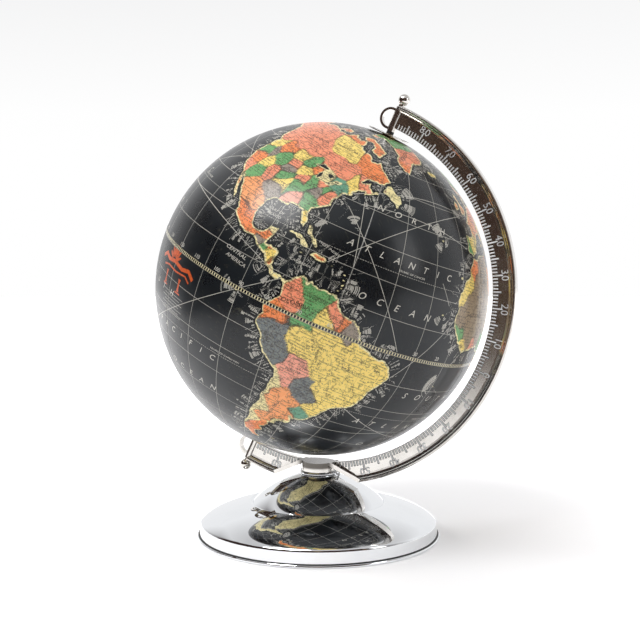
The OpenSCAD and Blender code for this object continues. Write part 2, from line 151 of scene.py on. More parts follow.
ISLANDS = {
    "newfoundland": "-58.5,47.8 -57,50.8 -55,51.3 -53,49.3 -50,48.5 -49,46 -50.5,43.3 -53,45.5 -55.5,46.8",
    "baffin": """-80,73.5 -72,71.5 -67,69 -62,66.8 -64,64.8 -66,62 -71,63.5 -74,65 -73,67.5 -78,70
        -86,70.5 -89,72 -85,73.5""",
    "victoria": "-117,70 -115,73 -105,72.8 -102,69.5 -108,68.8 -115,69",
    "ellesmere": "-90,76.5 -80,76 -72,79 -62,82.3 -75,83 -90,81.5 -88,79",
    "iceland": "-24,65.5 -22,66.4 -18,66 -14,65 -16,63.8 -20,63.5 -22.5,64",
    "cuba": "-84.9,22 -82.5,23 -80,23 -77,21.5 -74.3,20.2 -77.5,19.9 -79,21.4 -82,22.3",
    "hispaniola": "-74.3,18.5 -72.5,19.8 -69.5,19.7 -68.5,18.4 -71.5,17.8",
    "puerto_rico": "-67.2,18.4 -65.7,18.3 -66.5,17.9",
    "jamaica": "-78.2,18.3 -76.3,18.1 -77.3,17.8",
    "bahamas": "-79,27 -77.5,26.5 -76.5,24.5 -74.5,23.5 -73,21.3 -74,21 -76,23 -78.3,24.2",
    "trinidad": "-61.8,10.7 -61,10.8 -61,10 -61.8,10.1",
    "madagascar": "49.3,-12 50.4,-15.7 47.2,-25 44,-24.8 43.5,-22 44.5,-16.5",
    "britain": "-5.5,50 1,51.2 1.6,52.8 -2,55.5 -2,57.6 -4,58.6 -5.5,57 -3.2,54.5 -4.7,52.5",
    "ireland": "-10,51.8 -6.2,52.3 -6,54.5 -8,55.2 -10,54",
    "svalbard": "12,78.5 20,80.2 26,79.5 17,76.7",
    "novaya_zemlya": "52,71 56,73.5 66,76.7 68,76.5 58,72",
    "sakhalin": "142,54 143.5,49 142,46 142.5,51",
    "honshu": """130.5,31.5 131,34 135.5,34.5 140,35.2 141.5,39 141.3,41.4 140,41 139.5,38 136.5,36.8
        132,35.5 129.8,33""",
    "hokkaido": "140,42 145,43.5 142,45.4 141,43",
    "philippines": "120.5,18.3 122,17 121.5,14 124,12.5 126,7 123.5,6.8 122,10 120,14",
    "borneo": "109,1.5 111.5,3 116.5,7 119,5 117.5,1 116,-3.8 110.5,-3",
    "sumatra": "95.3,5.6 98.5,3.8 104,-1.5 105.8,-5.8 101,-3 98.5,1",
    "java": "105.5,-6.8 110.5,-6.6 114.4,-8 114,-8.6 106.5,-7.4",
    "sulawesi": "119.5,-5.5 119.5,-1 121,1 125,1.4 121,0 123,-4.5 121,-3",
    "new_guinea": """131,-0.8 135,-1.2 138,-1.7 144.5,-4 147.5,-6.5 150.5,-10.5 146.5,-8.5 141.5,-9
        138,-8 134,-4""",
    "tasmania": "144.7,-40.8 148.3,-41 147,-43.5",
    "new_zealand_north": "173,-34.5 175.5,-36.8 178.3,-38 175.5,-41.5 173.8,-39.3",
    "new_zealand_south": "173,-40.7 174.2,-41.8 171,-44.5 168.5,-46.6 166.6,-45.8 171,-42.4",
    "ceylon": "80,9.5 81.8,7 80.3,6",
}
LAKES = {
    "superior": "-91.6,46.9 -88.8,48.2 -85.6,47.4 -85.2,46.8 -88,46.8",
    "michigan": "-87.5,42.4 -87.5,44.2 -86.4,45.2 -86.3,42.8",
    "huron": "-83.8,45.6 -81.3,45.4 -80.6,44.8 -82.2,43.8",
    "erie": "-82.8,41.8 -79.6,42.6 -80.7,42",
    "ontario": "-79.3,43.5 -76.9,43.9 -77.4,43.5",
    "caspian": "47,42 49,45.5 52.5,46.5 53,42 54,37 49.5,37.5",
}
ISLETS = """-61.7,17,0.45 -61.4,15.4,0.45 -61,14,0.4 -61.2,13.2,0.4 -61.7,12.1,0.4 -155.5,19.6,0.8
    -59,-51.7,0.9 -15.8,28.2,0.7 -23.8,15.5,0.5 -27,38.5,0.5 -90.8,-0.5,0.7 14.2,37.5,1.1 9,40,0.9
    121,23.7,1 109.8,19.2,0.9 -64.8,32.3,0.3 -149.5,-17.6,0.4 178,-17.8,0.8 166,-21.5,0.9 -14.4,-8,0.3"""

# each country colour, and the places it is printed round
COUNTRIES = {
    "green": """-119.6,44.4 -111.7,34.8 -107.4,43.3 -94.2,46.8 -98.4,38.4 -86.5,39.9 -91.6,35.4
        -83.7,32.9 -80.6,38.6 -67,8.2 -66,2.8 -89.4,13.8 -8,39.5 -13.5,9.8 105,53 118,55 92,52 30,25.5
        9,9 24,-29 78,22 84,25 101,17 15,63 133,-25 -42,78 35,-6.5 47,33""",
    "yellow": """-119.5,47.6 -111.4,39.4 -100.2,47.5 -97.1,35.5 -93.8,42.3 -69.8,44.9 -81.5,28.2 -88,60
        -82,57.5 -85.3,12.3 -80.3,8.6 -61.8,2.3 -66,-7 -58,-4 -50,-6 -42,-8 -55,-13 -45,-15 -52,-20
        -48.5,-25 -53,-28.5 -54,-21.5 -39,-7 -57,-10 -18.5,65 -4,40 -10,27.5 -14,23.5 -9.5,6 22,15.5
        28,8 22,-22 60,58 70,63 47,55 104,35 112,30 120,48 57,31 141,38 16,47 135,-19""",
    "orange": """-119.1,39.6 -111.2,48.3 -90,45.4 -77,69 -72,57 -66,54.5 -104,21 -99,19 -97,17.5
        -90.5,18.6 -112,26 -86.5,15.8 -84.6,10.2 -56.4,4.6 -79.2,-1.5 -71.5,18.8 -68.1,-44.4 -67,-48
        -50,62 -46,61 -6,32.5 -7,30.5 18,-2 24,-6 38,60 60,42 72,45 146,-31 45,24 69,29 12,42 35,52""",
    "coral": """-118.2,35.8 -105.6,37.5 -100.5,44.4 -91.7,39.2 -83,40.4 -78.9,37.1 -65.7,46 -130,62
        -118,60 -104,57 -98,52 -86,50.5 -78,50 -110,53 -122,53 -74.2,5.3 -59.2,4.6 -150,65 -42,70 -35,74
        44,-20 40,8.5 90,33 100,40 140,62 20,52 127,-24 11,50 -1,6.5""",
    "grey": """-114.7,44.5 -100,41.3 -99.3,31.8 -82.7,37.9 -91,15.7 -53.8,4.3 128,44 108,23 34,-17""",
    "slate": """-76.4,-7.2 -74,-12 -72,-15 -59.7,-20.5 -56.5,-23.8 66,34 48,-19""",
    "cream": """-84.1,43.9 -87.8,21.2 -78,23 -80,22 -63.3,-46 -71.5,-35 -72.5,-42 -70,-22 -59,-40 0,-85
        90,-80 180,-80 -90,-80 -52,47""",
    "pink": """-89.2,31.9 -61.8,45.4 -64.2,-14.7 -66,-19 10,60 32,40 96,22 17,-12""",
    "teal": "-77,42 -56.5,-31.9 25,45 138,-6 170,-43",
    "apricot": """-103,27 -108,30 -64.2,-24.8 -65,-31 -68.4,-38.8 -61,-28.5 -60.5,-34 -3,53.5 2,47 76,60
        110,63 38,-3 114,-1 20,28""",
    "tan": """-5,17 2,15 10,14 -10,20 0,22 -8,13.5 -12,16 -9,11.5 -5,10 -5,25 -2,28 3,31 8,21 2,9.5 52,65
        25,0 47,45""",
}
PALETTE = {
    "green": (78, 160, 94),
    "yellow": (252, 222, 116),
    "orange": (248, 130, 66),
    "coral": (246, 142, 110),
    "grey": (138, 126, 122),
    "slate": (92, 104, 116),
    "cream": (242, 228, 166),
    "pink": (246, 160, 140),
    "teal": (72, 150, 126),
    "apricot": (250, 158, 96),
    "tan": (150, 127, 104),
}
# straight sailing lines drawn across the oceans, from one place to another
COURSES = """-69.8,37.7,-36.7,0.9 -11.6,49.1,-68.2,18.7 -64.6,41.3,-60.1,20.4 -65.2,40.1,-11,38.1
    -26.4,25,-21.7,18.7 -79.5,8.5,-155,20 -157,21,-122.5,37.5 -71.6,-33,-18,-30 -34.9,-8,-17.5,14.5
    -74,40.5,-6,49.5 18,-34,-43,-23 115,-32,57,-20 80,6,45,12 140,35,-122.5,37.8 151,-34,-79,8.5"""
# names on the seas, letter by letter: text, first place, last place
SEA_NAMES = (
    ("NORTH", (-57.6, 41.7), (-27.4, 41.7)),
    ("ATLANTIC", (-63.9, 27.2), (-23.8, 27.2)),
    ("OCEAN", (-54.5, 13.5), (-30.4, 13.5)),
    ("SOUTH", (-25.1, -12.7), (-0.5, -12.7)),
    ("ATLANTIC", (-35.7, -26.6), (10.5, -26.6)),
    ("OCEAN", (-22, -39), (8, -39)),
    ("SOUTH", (-146, -14), (-118, -14)),
    ("PACIFIC", (-126, -25.5), (-92.8, -25.5)),
    ("OCEAN", (-118, -38), (-92, -38)),
    ("NORTH", (-178, 38), (-146, 38)),
    ("PACIFIC", (176, 26), (222, 26)),
    ("OCEAN", (-172, 12), (-142, 12)),
    ("INDIAN", (62, -12), (92, -12)),
    ("OCEAN", (66, -26), (92, -26)),
    ("ARCTIC", (-175, 79), (-120, 79)),
)
# smaller names: text, place of the middle, letter height in degrees, turn, 1 for light ink or 0 for dark
SMALL_NAMES = (
    ("CENTRAL", (-96.3, 9.4), 1.15, -6, 1),
    ("AMERICA", (-95.2, 7.2), 1.15, -6, 1),
    ("GULF OF", (-91.5, 26.2), 0.8, 0, 1),
    ("MEXICO", (-91.5, 24.6), 0.8, 0, 1),
    ("CARIBBEAN SEA", (-74.5, 15.2), 0.75, 0, 1),
    ("WEST INDIES", (-69.5, 22.6), 0.75, -14, 1),
    ("TROPIC OF CANCER", (-40, 24.5), 0.6, 0, 1),
    ("TROPIC OF CANCER", (-135, 24.5), 0.6, 0, 1),
    ("TROPIC OF CAPRICORN", (-88, -22.4), 0.6, 0, 1),
    ("TROPIC OF CAPRICORN", (-5, -22.4), 0.6, 0, 1),
    ("COLOMBIA", (-72.6, 3.6), 1.25, 4, 0),
    ("VENEZUELA", (-66.6, 7.4), 0.7, 0, 0),
    ("PERU", (-76, -9.5), 0.9, -50, 0),
    ("BOLIVIA", (-64.5, -16.2), 0.8, 0, 0),
    ("BRAZIL", (-49, -9.5), 0.8, -8, 0),
    ("ARGENTINA", (-65.5, -33.5), 0.9, 78, 0),
    ("PARAGUAY", (-59.5, -22.6), 0.55, -30, 0),
    ("CHILE", (-70.4, -27), 0.6, 84, 0),
    ("CANADA", (-106, 58), 1.1, 0, 0),
    ("UNITED STATES", (-100, 39.6), 0.8, 0, 0),
    ("MEXICO", (-103, 23.6), 0.9, -40, 0),
    ("GREENLAND", (-41, 73), 1.3, 70, 0),
    ("HUDSON BAY", (-86, 59.5), 0.8, 0, 0),
    ("ALGERIA", (3, 28), 0.9, 0, 0),
    ("WEST AFRICA", (-4, 17), 1.1, 0, 0),
    ("CONGO", (22, -3), 1.0, 0, 0),
    ("EGYPT", (29, 26), 0.9, 0, 0),
    ("RUSSIA", (75, 60), 2.2, 0, 0),
    ("CHINA", (105, 33), 1.8, 0, 0),
    ("INDIA", (78, 22), 1.3, 0, 0),
    ("AUSTRALIA", (134, -25), 1.6, 0, 0),
    ("ANTARCTICA", (20, -80), 1.6, 0, 0),
    ("BAY OF BENGAL", (88, 14), 0.8, 0, 1),
    ("ARABIAN SEA", (64, 15), 0.8, 0, 1),
    ("TASMAN SEA", (160, -36), 0.8, 0, 1),
    ("CORAL SEA", (155, -17), 0.8, 0, 1),
    ("SOUTH CHINA SEA", (114, 13), 0.6, 0, 1),
)


# the ornament: blades of the fan, ribbons as places, width and height, posts and rules
FAN_BLADES = 7
ORNAMENT_RIBBONS = (
    ("-131,-5.6 -128.5,-4 -125,-4.9 -120,-4.2 -115,-5 -111,-4.2 -108,-6", 1.25, 1.0),
    ("-128,-7.4 -124,-6.6 -118,-6.9 -112,-6.3 -109.5,-7.6", 0.55, 0.9),
)
ORNAMENT_POSTS = (-124, -114.5)
ORNAMENT_RULES = 7


# ---------------------------------------------------------------- sizes and colours
def tone(red, green, blue):
    """A printed colour on the usual 0 to 255 scale, as linear light."""
    parts = []
    for level in (red, green, blue):
        share = level / 255
        parts.append(share / 12.92 if share <= 0.04045 else ((share + 0.055) / 1.055) ** 2.4)
    return tuple(parts)


def number(name, words, value, low, high, unit="NONE"):
    """A number with its label, its meaning, its value and its range."""
    return FloatProperty(name=name, description=words, default=value, min=low, max=high, unit=unit)


def length(name, words, value, low, high):
    """A length, given in millimetres."""
    return number(name, words, value * MM, low * MM, high * MM, "LENGTH")


def colour(name, words, red, green, blue):
    """A colour with its label, its meaning and its printed tone."""
    return FloatVectorProperty(
        name=name, description=words, subtype="COLOR", size=3, default=tone(red, green, blue), min=0, max=1
    )


class GlobeMapSizes(bpy.types.PropertyGroup):
    """Sizes of the print and its lines."""

    tilt: number("Axis tilt", "Lean of the axis from upright, in degrees", 25, 0, 45)
    turn: number("Print turn", "Turn of the printed map about its axis, in degrees", -4.5, -180, 180)
    fineness: number("Map step", "Step of the map's surface grid, in degrees", 0.5, 0.25, 2)
    gore_span: number("Sheet span", "Longitude covered by one printed sheet, in degrees", 60, 30, 90)
    gore_seam: number("Sheet seam", "Half the gap between two printed sheets, in degrees", 0.012, 0, 0.1)
    pole_hole: number("Pole hole", "Latitude where the sheets stop round a pole, in degrees", 87.5, 80, 89)
    print_thickness: length("Print thickness", "Thickness of paper and varnish", 0.3, 0.05, 1)
    band_half: length("Equator band half width", "Half the width of the equator tape", 1.6, 0.5, 4)
    band_lift: length("Equator band lift", "How far the tape stands off the print", 0.15, 0.02, 1)
    ink_lift: length("Ink lift", "How far the lettering stands off the print", 0.035, 0.01, 0.2)
    name_height: number("Sea name height", "Cap height of the ocean names, in degrees", 2.1, 0.5, 5)
    parallel_step: number("Parallel step", "Spacing of the parallels, in degrees", 10, 5, 30)
    meridian_step: number("Meridian step", "Spacing of the meridians, in degrees", 15, 5, 30)
    line_width: number("Graticule width", "Half width of the drawn lines, in degrees", 0.075, 0.02, 0.5)


class GlobeMapColours(bpy.types.PropertyGroup):
    """Inks of the print."""

    sea: colour("Sea", "The black of the oceans", 17, 20, 23)
    sea_worn: colour("Worn sea", "The blacker and bluer patches of the oceans", 27, 33, 38)
    ink: colour("Light ink", "Lettering and lines over the sea", 214, 211, 200)
    dark_ink: colour("Dark ink", "Lettering and borders over the land", 52, 42, 34)
    shore: colour("Shore", "The pale rim of every coast", 244, 233, 178)
    bars: colour("Equator bars", "The pale bars of the equator", 236, 226, 184)
    ornament: colour("Ornament", "The ornament in the Pacific", 214, 92, 38)


class GlobeStandSizes(bpy.types.PropertyGroup):
    """Sizes of the arm's scale and the hour dial's figures."""

    arm_gap: length("Arm gap", "Gap between the globe and the arm", 8.2, 1, 20)
    arm_face: length("Arm face", "Distance of the arm's front face from the middle plane", 3, 1, 10)
    scale_turn: number("Scale turn", "How far the scale is turned on the arm, in degrees", 0.2, -5, 5)
    tick_start: length("Tick start", "Gap between the arm's inner edge and its scale", 0.25, 0, 2)
    tick_short: length("Short tick", "Length of the one degree bars", 4.9, 1, 9)
    tick_middle: length("Middle tick", "Length of the five degree bars", 7.5, 1, 12)
    tick_long: length("Long tick", "Length of the ten degree bars", 9.6, 1, 14)
    tick_width: length("Tick width", "Width of one bar of the scale", 1.3, 0.2, 2)
    relief: length("Scale relief", "Height of the scale over the arm's face", 0.16, 0.02, 0.5)
    # painted shadow: a dark margin round every bar and number of the arm's scale
    groove: length("Groove", "Dark margin round every bar and number", 0.3, 0, 1)
    numeral_height: length("Numeral height", "Height of the arm's numbers", 6.4, 2, 9)
    numeral_radius: length(
        "Numeral radius", "Distance of the numbers from the globe's centre", 172, 100, 300
    )
    hour_height: length("Hour numeral height", "Height of the hour dial's numbers", 2.6, 1, 5)
    dial_lift: length("Dial lift", "Height of the dial's face over the print", 1.51, 0.2, 5)
    hour_radius: length("Hour numeral radius", "Distance of the hour numbers from the axis", 16, 5, 30)


class GlobeBaseSizes(bpy.types.PropertyGroup):
    """The spun sheet's outline."""

    collar_radius: length("Collar radius", "Where the dome starts under the collar", 17.2, 10, 30)
    dome_height: length("Dome height", "Height of the flat on the dome", 58, 40, 80)
    ridge_radius: length("Ridge radius", "Radius of the ridge between dome and dish", 64, 40, 90)
    ridge_height: length("Ridge height", "Height of that ridge", 33, 20, 50)
    ridge_round: length("Ridge rounding", "Radius of the ridge's crown", 1.5, 0.5, 4)
    ridge_slope: number("Ridge slope", "Slope of the dish at the ridge, in degrees", 12, 0, 40)
    edge_slope: number("Edge slope", "Slope of the dish where it meets the band, in degrees", 42, 20, 60)
    band_height: length("Band height", "Height of the upright band's top", 13, 5, 30)
    band_round: length("Band rounding", "Radius between dish and band", 3.5, 1, 8)
    band_lean: length("Band lean", "How far the band leans in at its top", 0.5, 0, 6)
    sheet: length("Sheet", "Thickness of the spun sheet", 1.2, 0.5, 3)
    bolt_hole: length("Bolt hole", "Radius of the hole on the dome's flat", 4.2, 1, 10)


class GlobeStandColours(bpy.types.PropertyGroup):
    """Platings, metals and the stand's other matter."""

    chrome: colour("Chrome", "The plating of the base", 236, 238, 240)
    nickel: colour("Nickel", "The plating of the arm", 226, 223, 218)
    aged: colour("Aged nickel", "The plating where it has worn", 182, 175, 164)
    brass: colour("Brass", "The ferrules", 190, 158, 92)
    steel: colour("Steel", "The screws and washers", 150, 150, 148)
    iron: colour("Cast iron", "The ballast weight", 44, 44, 46)
    felt: colour("Felt", "The pad under the base", 38, 62, 46)
    fibre: colour("Fibre board", "The board inside the base", 122, 92, 60)
    card: colour("Card", "The hemispheres under the print", 170, 146, 108)
    dark: colour("Dark lacquer", "The spacers and the dial's figures", 26, 24, 23)


class GlobeStudio(bpy.types.PropertyGroup):
    """Room, light, floor and lens."""

    room: colour("Room", "The dim room behind the camera", 46, 26, 21)
    room_warm: colour("Warm room", "The warmer streaks of that room", 100, 80, 54)
    backdrop: colour("Backdrop", "The pale paper behind and below", 250, 250, 251)
    ambient: number("Ambient", "Level of the pale surroundings", 1.0, 0, 5)
    key: number("Key light", "Power of the overhead softbox", 34, 0, 500)
    side: number("Side light", "Power of the right-hand softbox", 4, 0, 500)
    lens: number("Lens", "Focal length", 59.4, 20, 200, "CAMERA")
    floor_lift: number("Floor lift", "Glow of the paper floor", 0.15, 0, 2)
    room_reach: length(
        "Room reach", "How far behind the globe's front the dim screen stands", 1150, 1050, 5000
    )
    room_height: length("Room height", "Height of the dim screen", 1100, 200, 4000)
    floor_reach: length("Floor reach", "How far the floor runs from the stand", 6000, 1000, 20000)
    seed: IntProperty(name="Seed", description="Starts every random choice", default=31, min=0)


# ---------------------------------------------------------------- shader writing
class Value:
    """One output of a node tree, with sums written as sums."""

    def __init__(self, sheet, socket):
        self.sheet = sheet
        self.socket = socket

    def _sum(self, operation, *terms, clamp=False):
        settings = {"operation": operation, "use_clamp": clamp}
        return self.sheet.node("ShaderNodeMath", settings, dict(enumerate(terms)))

    def __add__(self, other):
        return self._sum("ADD", self, other)

    def __sub__(self, other):
        return self._sum("SUBTRACT", self, other)

    def __mul__(self, other):
        return self._sum("MULTIPLY", self, other)

    def __truediv__(self, other):
        return self._sum("DIVIDE", self, other)

    def __radd__(self, other):
        return self._sum("ADD", other, self)

    def __rsub__(self, other):
        return self._sum("SUBTRACT", other, self)

    def __rmul__(self, other):
        return self._sum("MULTIPLY", other, self)

    def __gt__(self, other):
        return self._sum("GREATER_THAN", self, other)

    def __lt__(self, other):
        return self._sum("LESS_THAN", self, other)

    def __abs__(self):
        return self._sum("ABSOLUTE", self)

    def part(self):
        """What is left after the whole number."""
        return self._sum("FRACT", self)

    def whole(self):
        return self._sum("FLOOR", self)

    def cosine(self):
        return self._sum("COSINE", self)

    def most(self, other):
        return self._sum("MAXIMUM", self, other)

    def least(self, other):
        return self._sum("MINIMUM", self, other)

    def off(self, step):
        """Distance to the nearest multiple of step."""
        return self._sum("PINGPONG", self, step / 2)

    def stroke(self, half_width):
        """1 within half_width of zero, falling softly to 0."""
        return self._sum("MULTIPLY_ADD", abs(self), -2.5 / half_width, 3, clamp=True)

    def between(self, low, high):
        return (self > low) * (self < high)

    def ramp(self, low, high):
        """0 at low rising to 1 at high."""
        return self._sum("MULTIPLY_ADD", self, 1 / (high - low), -low / (high - low), clamp=True)


class Sheet:
    """A material being written: every node is made through node()."""

    def __init__(self, tree):
        tree.nodes.clear()
        self.tree = tree

    def node(self, kind, settings=None, values=None, output=0):
        made = self.tree.nodes.new(kind)
        for key, setting in (settings or {}).items():
            setattr(made, key, setting)
        for key, value in (values or {}).items():
            slot = made.inputs[key] if isinstance(key, int) else self.find(made, key)
            if isinstance(value, Value):
                self.tree.links.new(value.socket, slot)
            elif slot.type == "RGBA" and len(value) == 3:
                slot.default_value = (*value, 1)
            else:
                slot.default_value = value
        return Value(self, made.outputs[output])

    def find(self, made, key):
        for slot in made.inputs:
            if key in (slot.identifier, slot.name):
                return slot
        raise KeyError(key)

    def stored(self, name, output=2):
        """A number stored on the mesh's points."""
        return self.node("ShaderNodeAttribute", {"attribute_name": name}, output=output)

    def place(self):
        """Where the point is on the object itself, in metres."""
        return self.node("ShaderNodeTexCoord", output=3)

    def axis(self, vector, index):
        return self.node("ShaderNodeSeparateXYZ", {}, {0: vector}, output=index)

    def mix(self, share, first, second):
        settings = {"data_type": "RGBA", "clamp_factor": True}
        values = {"Factor_Float": share, "A_Color": first, "B_Color": second}
        return self.node("ShaderNodeMix", settings, values, output=2)

    def noise(self, where, scale, detail=4, rough=0.5):
        values = {"Vector": where, "Scale": scale, "Detail": detail, "Roughness": rough}
        return self.node("ShaderNodeTexNoise", {}, values)

    def stretch(self, where, scale, turn=(0, 0, 0)):
        return self.node("ShaderNodeMapping", {}, {"Vector": where, "Scale": scale, "Rotation": turn})

    def chance(self, first, second=0.0):
        """A fixed random number for a pair of whole numbers."""
        both = self.node("ShaderNodeCombineXYZ", {}, {0: first, 1: second})
        return self.node("ShaderNodeTexWhiteNoise", {"noise_dimensions": "2D"}, {"Vector": both})

    def dot(self, vector, direction):
        settings = {"operation": "DOT_PRODUCT"}
        return self.node("ShaderNodeVectorMath", settings, {0: vector, 1: direction}, output=1)

    def bump(self, height, strength, distance):
        values = {"Height": height, "Strength": strength, "Distance": distance}
        return self.node("ShaderNodeBump", {}, values)

    def finish(self, **values):
        named = {key.replace("_", " "): value for key, value in values.items()}
        surface = self.node("ShaderNodeBsdfPrincipled", {}, named)
        self.node_out("ShaderNodeOutputMaterial", surface)

    def node_out(self, kind, surface):
        made = self.tree.nodes.new(kind)
        self.tree.links.new(surface.socket, made.inputs["Surface"])


def new_material(name, write, *values):
    """A material that write() fills in from values."""
    material = bpy.data.materials.new(name)
    material.use_nodes = True
    write(Sheet(material.node_tree), *values)
    return material


def plated(sheet, bright, worn, rough, scratch, painted_shade=None):
    """Bright plating with cloudy wear and fine scratches. The last argument, if given, says where painted
    shade darkens it.
    """
    where = sheet.place()
    cloud = sheet.noise(where, 28, 5, 0.62)
    lines = sheet.noise(sheet.stretch(where, (40, 900, 120), (0.4, 0.9, 0.2)), 1.0, 3, 0.6)
    scuff = lines.ramp(0.56, 0.78) * scratch
    pits = sheet.noise(where, 900, 2, 0.7).ramp(0.7, 0.8) * scratch
    shade = sheet.mix(cloud.ramp(0.5, 0.86) * 0.6 + pits * 0.5, bright, worn)
    finish = rough + cloud.ramp(0.35, 0.9) * rough * 0.8 + scuff * 0.1 + pits * 0.12
    # painted shade: the plating is mixed towards a dark tone where the mask says
    if painted_shade:
        shade = sheet.mix(painted_shade(sheet, where), shade, darker(worn, 0.2))
    relief = sheet.bump(lines * 0.3 + cloud * 0.7, 0.05 * scratch + 0.01, 0.0002)
    sheet.finish(Base_Color=shade, Metallic=1.0, Roughness=finish, Normal=relief)


def boss_stain(sheet, where):
    """Painted shade on the upper part of the arm's boss, under the globe: where the plating is darkened."""
    x, y, z = (sheet.axis(where, index) for index in range(3))
    close = 1 - (x * x + y * y).ramp(2.7e-4, 4.2e-4)
    return close * z.ramp(63.4 * MM, 65.2 * MM) * (1 - z.ramp(71 * MM, 74 * MM)) * 0.94


def cloth_like(sheet, base, other, scale, rough, height):
    """Matt matter: felt, board, card, iron."""
    where = sheet.place()
    fine = sheet.noise(where, scale, 6, 0.7)
    broad = sheet.noise(where, scale * 0.06, 3, 0.5)
    shade = sheet.mix(fine.ramp(0.3, 0.75) * 0.6 + broad.ramp(0.35, 0.7) * 0.4, base, other)
    sheet.finish(
        Base_Color=shade, Roughness=rough + fine * 0.12, Normal=sheet.bump(fine, 0.5, height)
    )


def ink_like(sheet, base, other, rough):
    """Printed ink: slightly uneven in strength."""
    where = sheet.place()
    fine = sheet.noise(where, 700, 3, 0.6)
    shade = sheet.mix(fine.ramp(0.35, 0.7), base, other)
    sheet.finish(Base_Color=shade, Roughness=rough + fine * 0.15, Coat_Weight=0.4)


def darker(shade, share):
    """The same tone at a share of its light."""
    return tuple(level * share for level in shade)


# ---------------------------------------------------------------- the ball and its map
class Ball:
    """The globe's centre, axis and radius, taken from the frame."""

    def __init__(self, sizes):
        low, high = (Vector(corner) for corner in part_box("equator_band"))
        self.centre = (low + high) / 2
        self.radius = (high.y - low.y) / 2 - sizes.band_lift
        lean = math.radians(sizes.tilt)
        self.axis = Vector((math.sin(lean), 0, math.cos(lean)))
        self.start = Vector((math.cos(lean), 0, -math.sin(lean)))
        self.side = Vector((0, 1, 0))
        self.turn = sizes.turn

    def ways(self, lon, lat):
        """Unit directions of arrays of places, in the frame."""
        east = np.radians(np.asarray(lon, float) + self.turn)
        north = np.radians(np.asarray(lat, float))
        flat = np.cos(north)[..., None] * (
            np.cos(east)[..., None] * np.array(self.start) + np.sin(east)[..., None] * np.array(self.side)
        )
        return flat + np.sin(north)[..., None] * np.array(self.axis)

    def points(self, lon, lat, lift):
        """Points lift metres off the print's face."""
        reach = self.radius + np.asarray(lift, float)
        return np.array(self.centre) + self.ways(lon, lat) * reach[..., None]


def map_way(lon, lat):
    """Unit direction in the map's own axes."""
    east = np.radians(lon)
    north = np.radians(lat)
    return np.stack([np.cos(north) * np.cos(east), np.cos(north) * np.sin(east), np.sin(north)], -1)


def read_run(text, width):
    """Rows of width numbers from a run of text."""
    numbers = [float(word) for word in text.replace(",", " ").split()]
    return np.array(numbers).reshape(-1, width)


def rounded_islet(lon, lat, size):
    """A small island, a little flattened."""
    angles = np.linspace(0, math.tau, 9)[:-1]
    return np.stack(
        [lon + size * np.cos(angles) / math.cos(math.radians(lat)), lat + size * 0.7 * np.sin(angles)], -1
    )


def roughen(ring, rng, start):
    """The ring with its sides broken up like a coast. Third column: distance run along the plain ring."""
    steps = np.roll(ring, -1, 0) - ring
    steps[:, 0] *= np.cos(np.radians(ring[:, 1]))
    run = start + np.concatenate([[0], np.cumsum(np.hypot(*steps.T))])
    line = np.column_stack([np.vstack([ring, ring[:1]]), run])
    for _ in range(COAST_ROUNDS):
        gap = line[1:] - line[:-1]
        size = np.hypot(gap[:, 0] * np.cos(np.radians(line[:-1, 1])), gap[:, 1])
        middle = (line[1:] + line[:-1]) / 2
        push = rng.normal(0, COAST_PUSH, len(gap)) * np.minimum(size, 4)
        middle[:, 0] -= gap[:, 1] / np.maximum(size, 1e-6) * push
        middle[:, 1] += gap[:, 0] / np.maximum(size, 1e-6) * push
        split = size > COAST_SIDE
        joined = []
        for index in range(len(gap)):
            joined.append(line[index])
            if split[index]:
                joined.append(middle[index])
        joined.append(line[-1])
        line = np.array(joined)
    return line


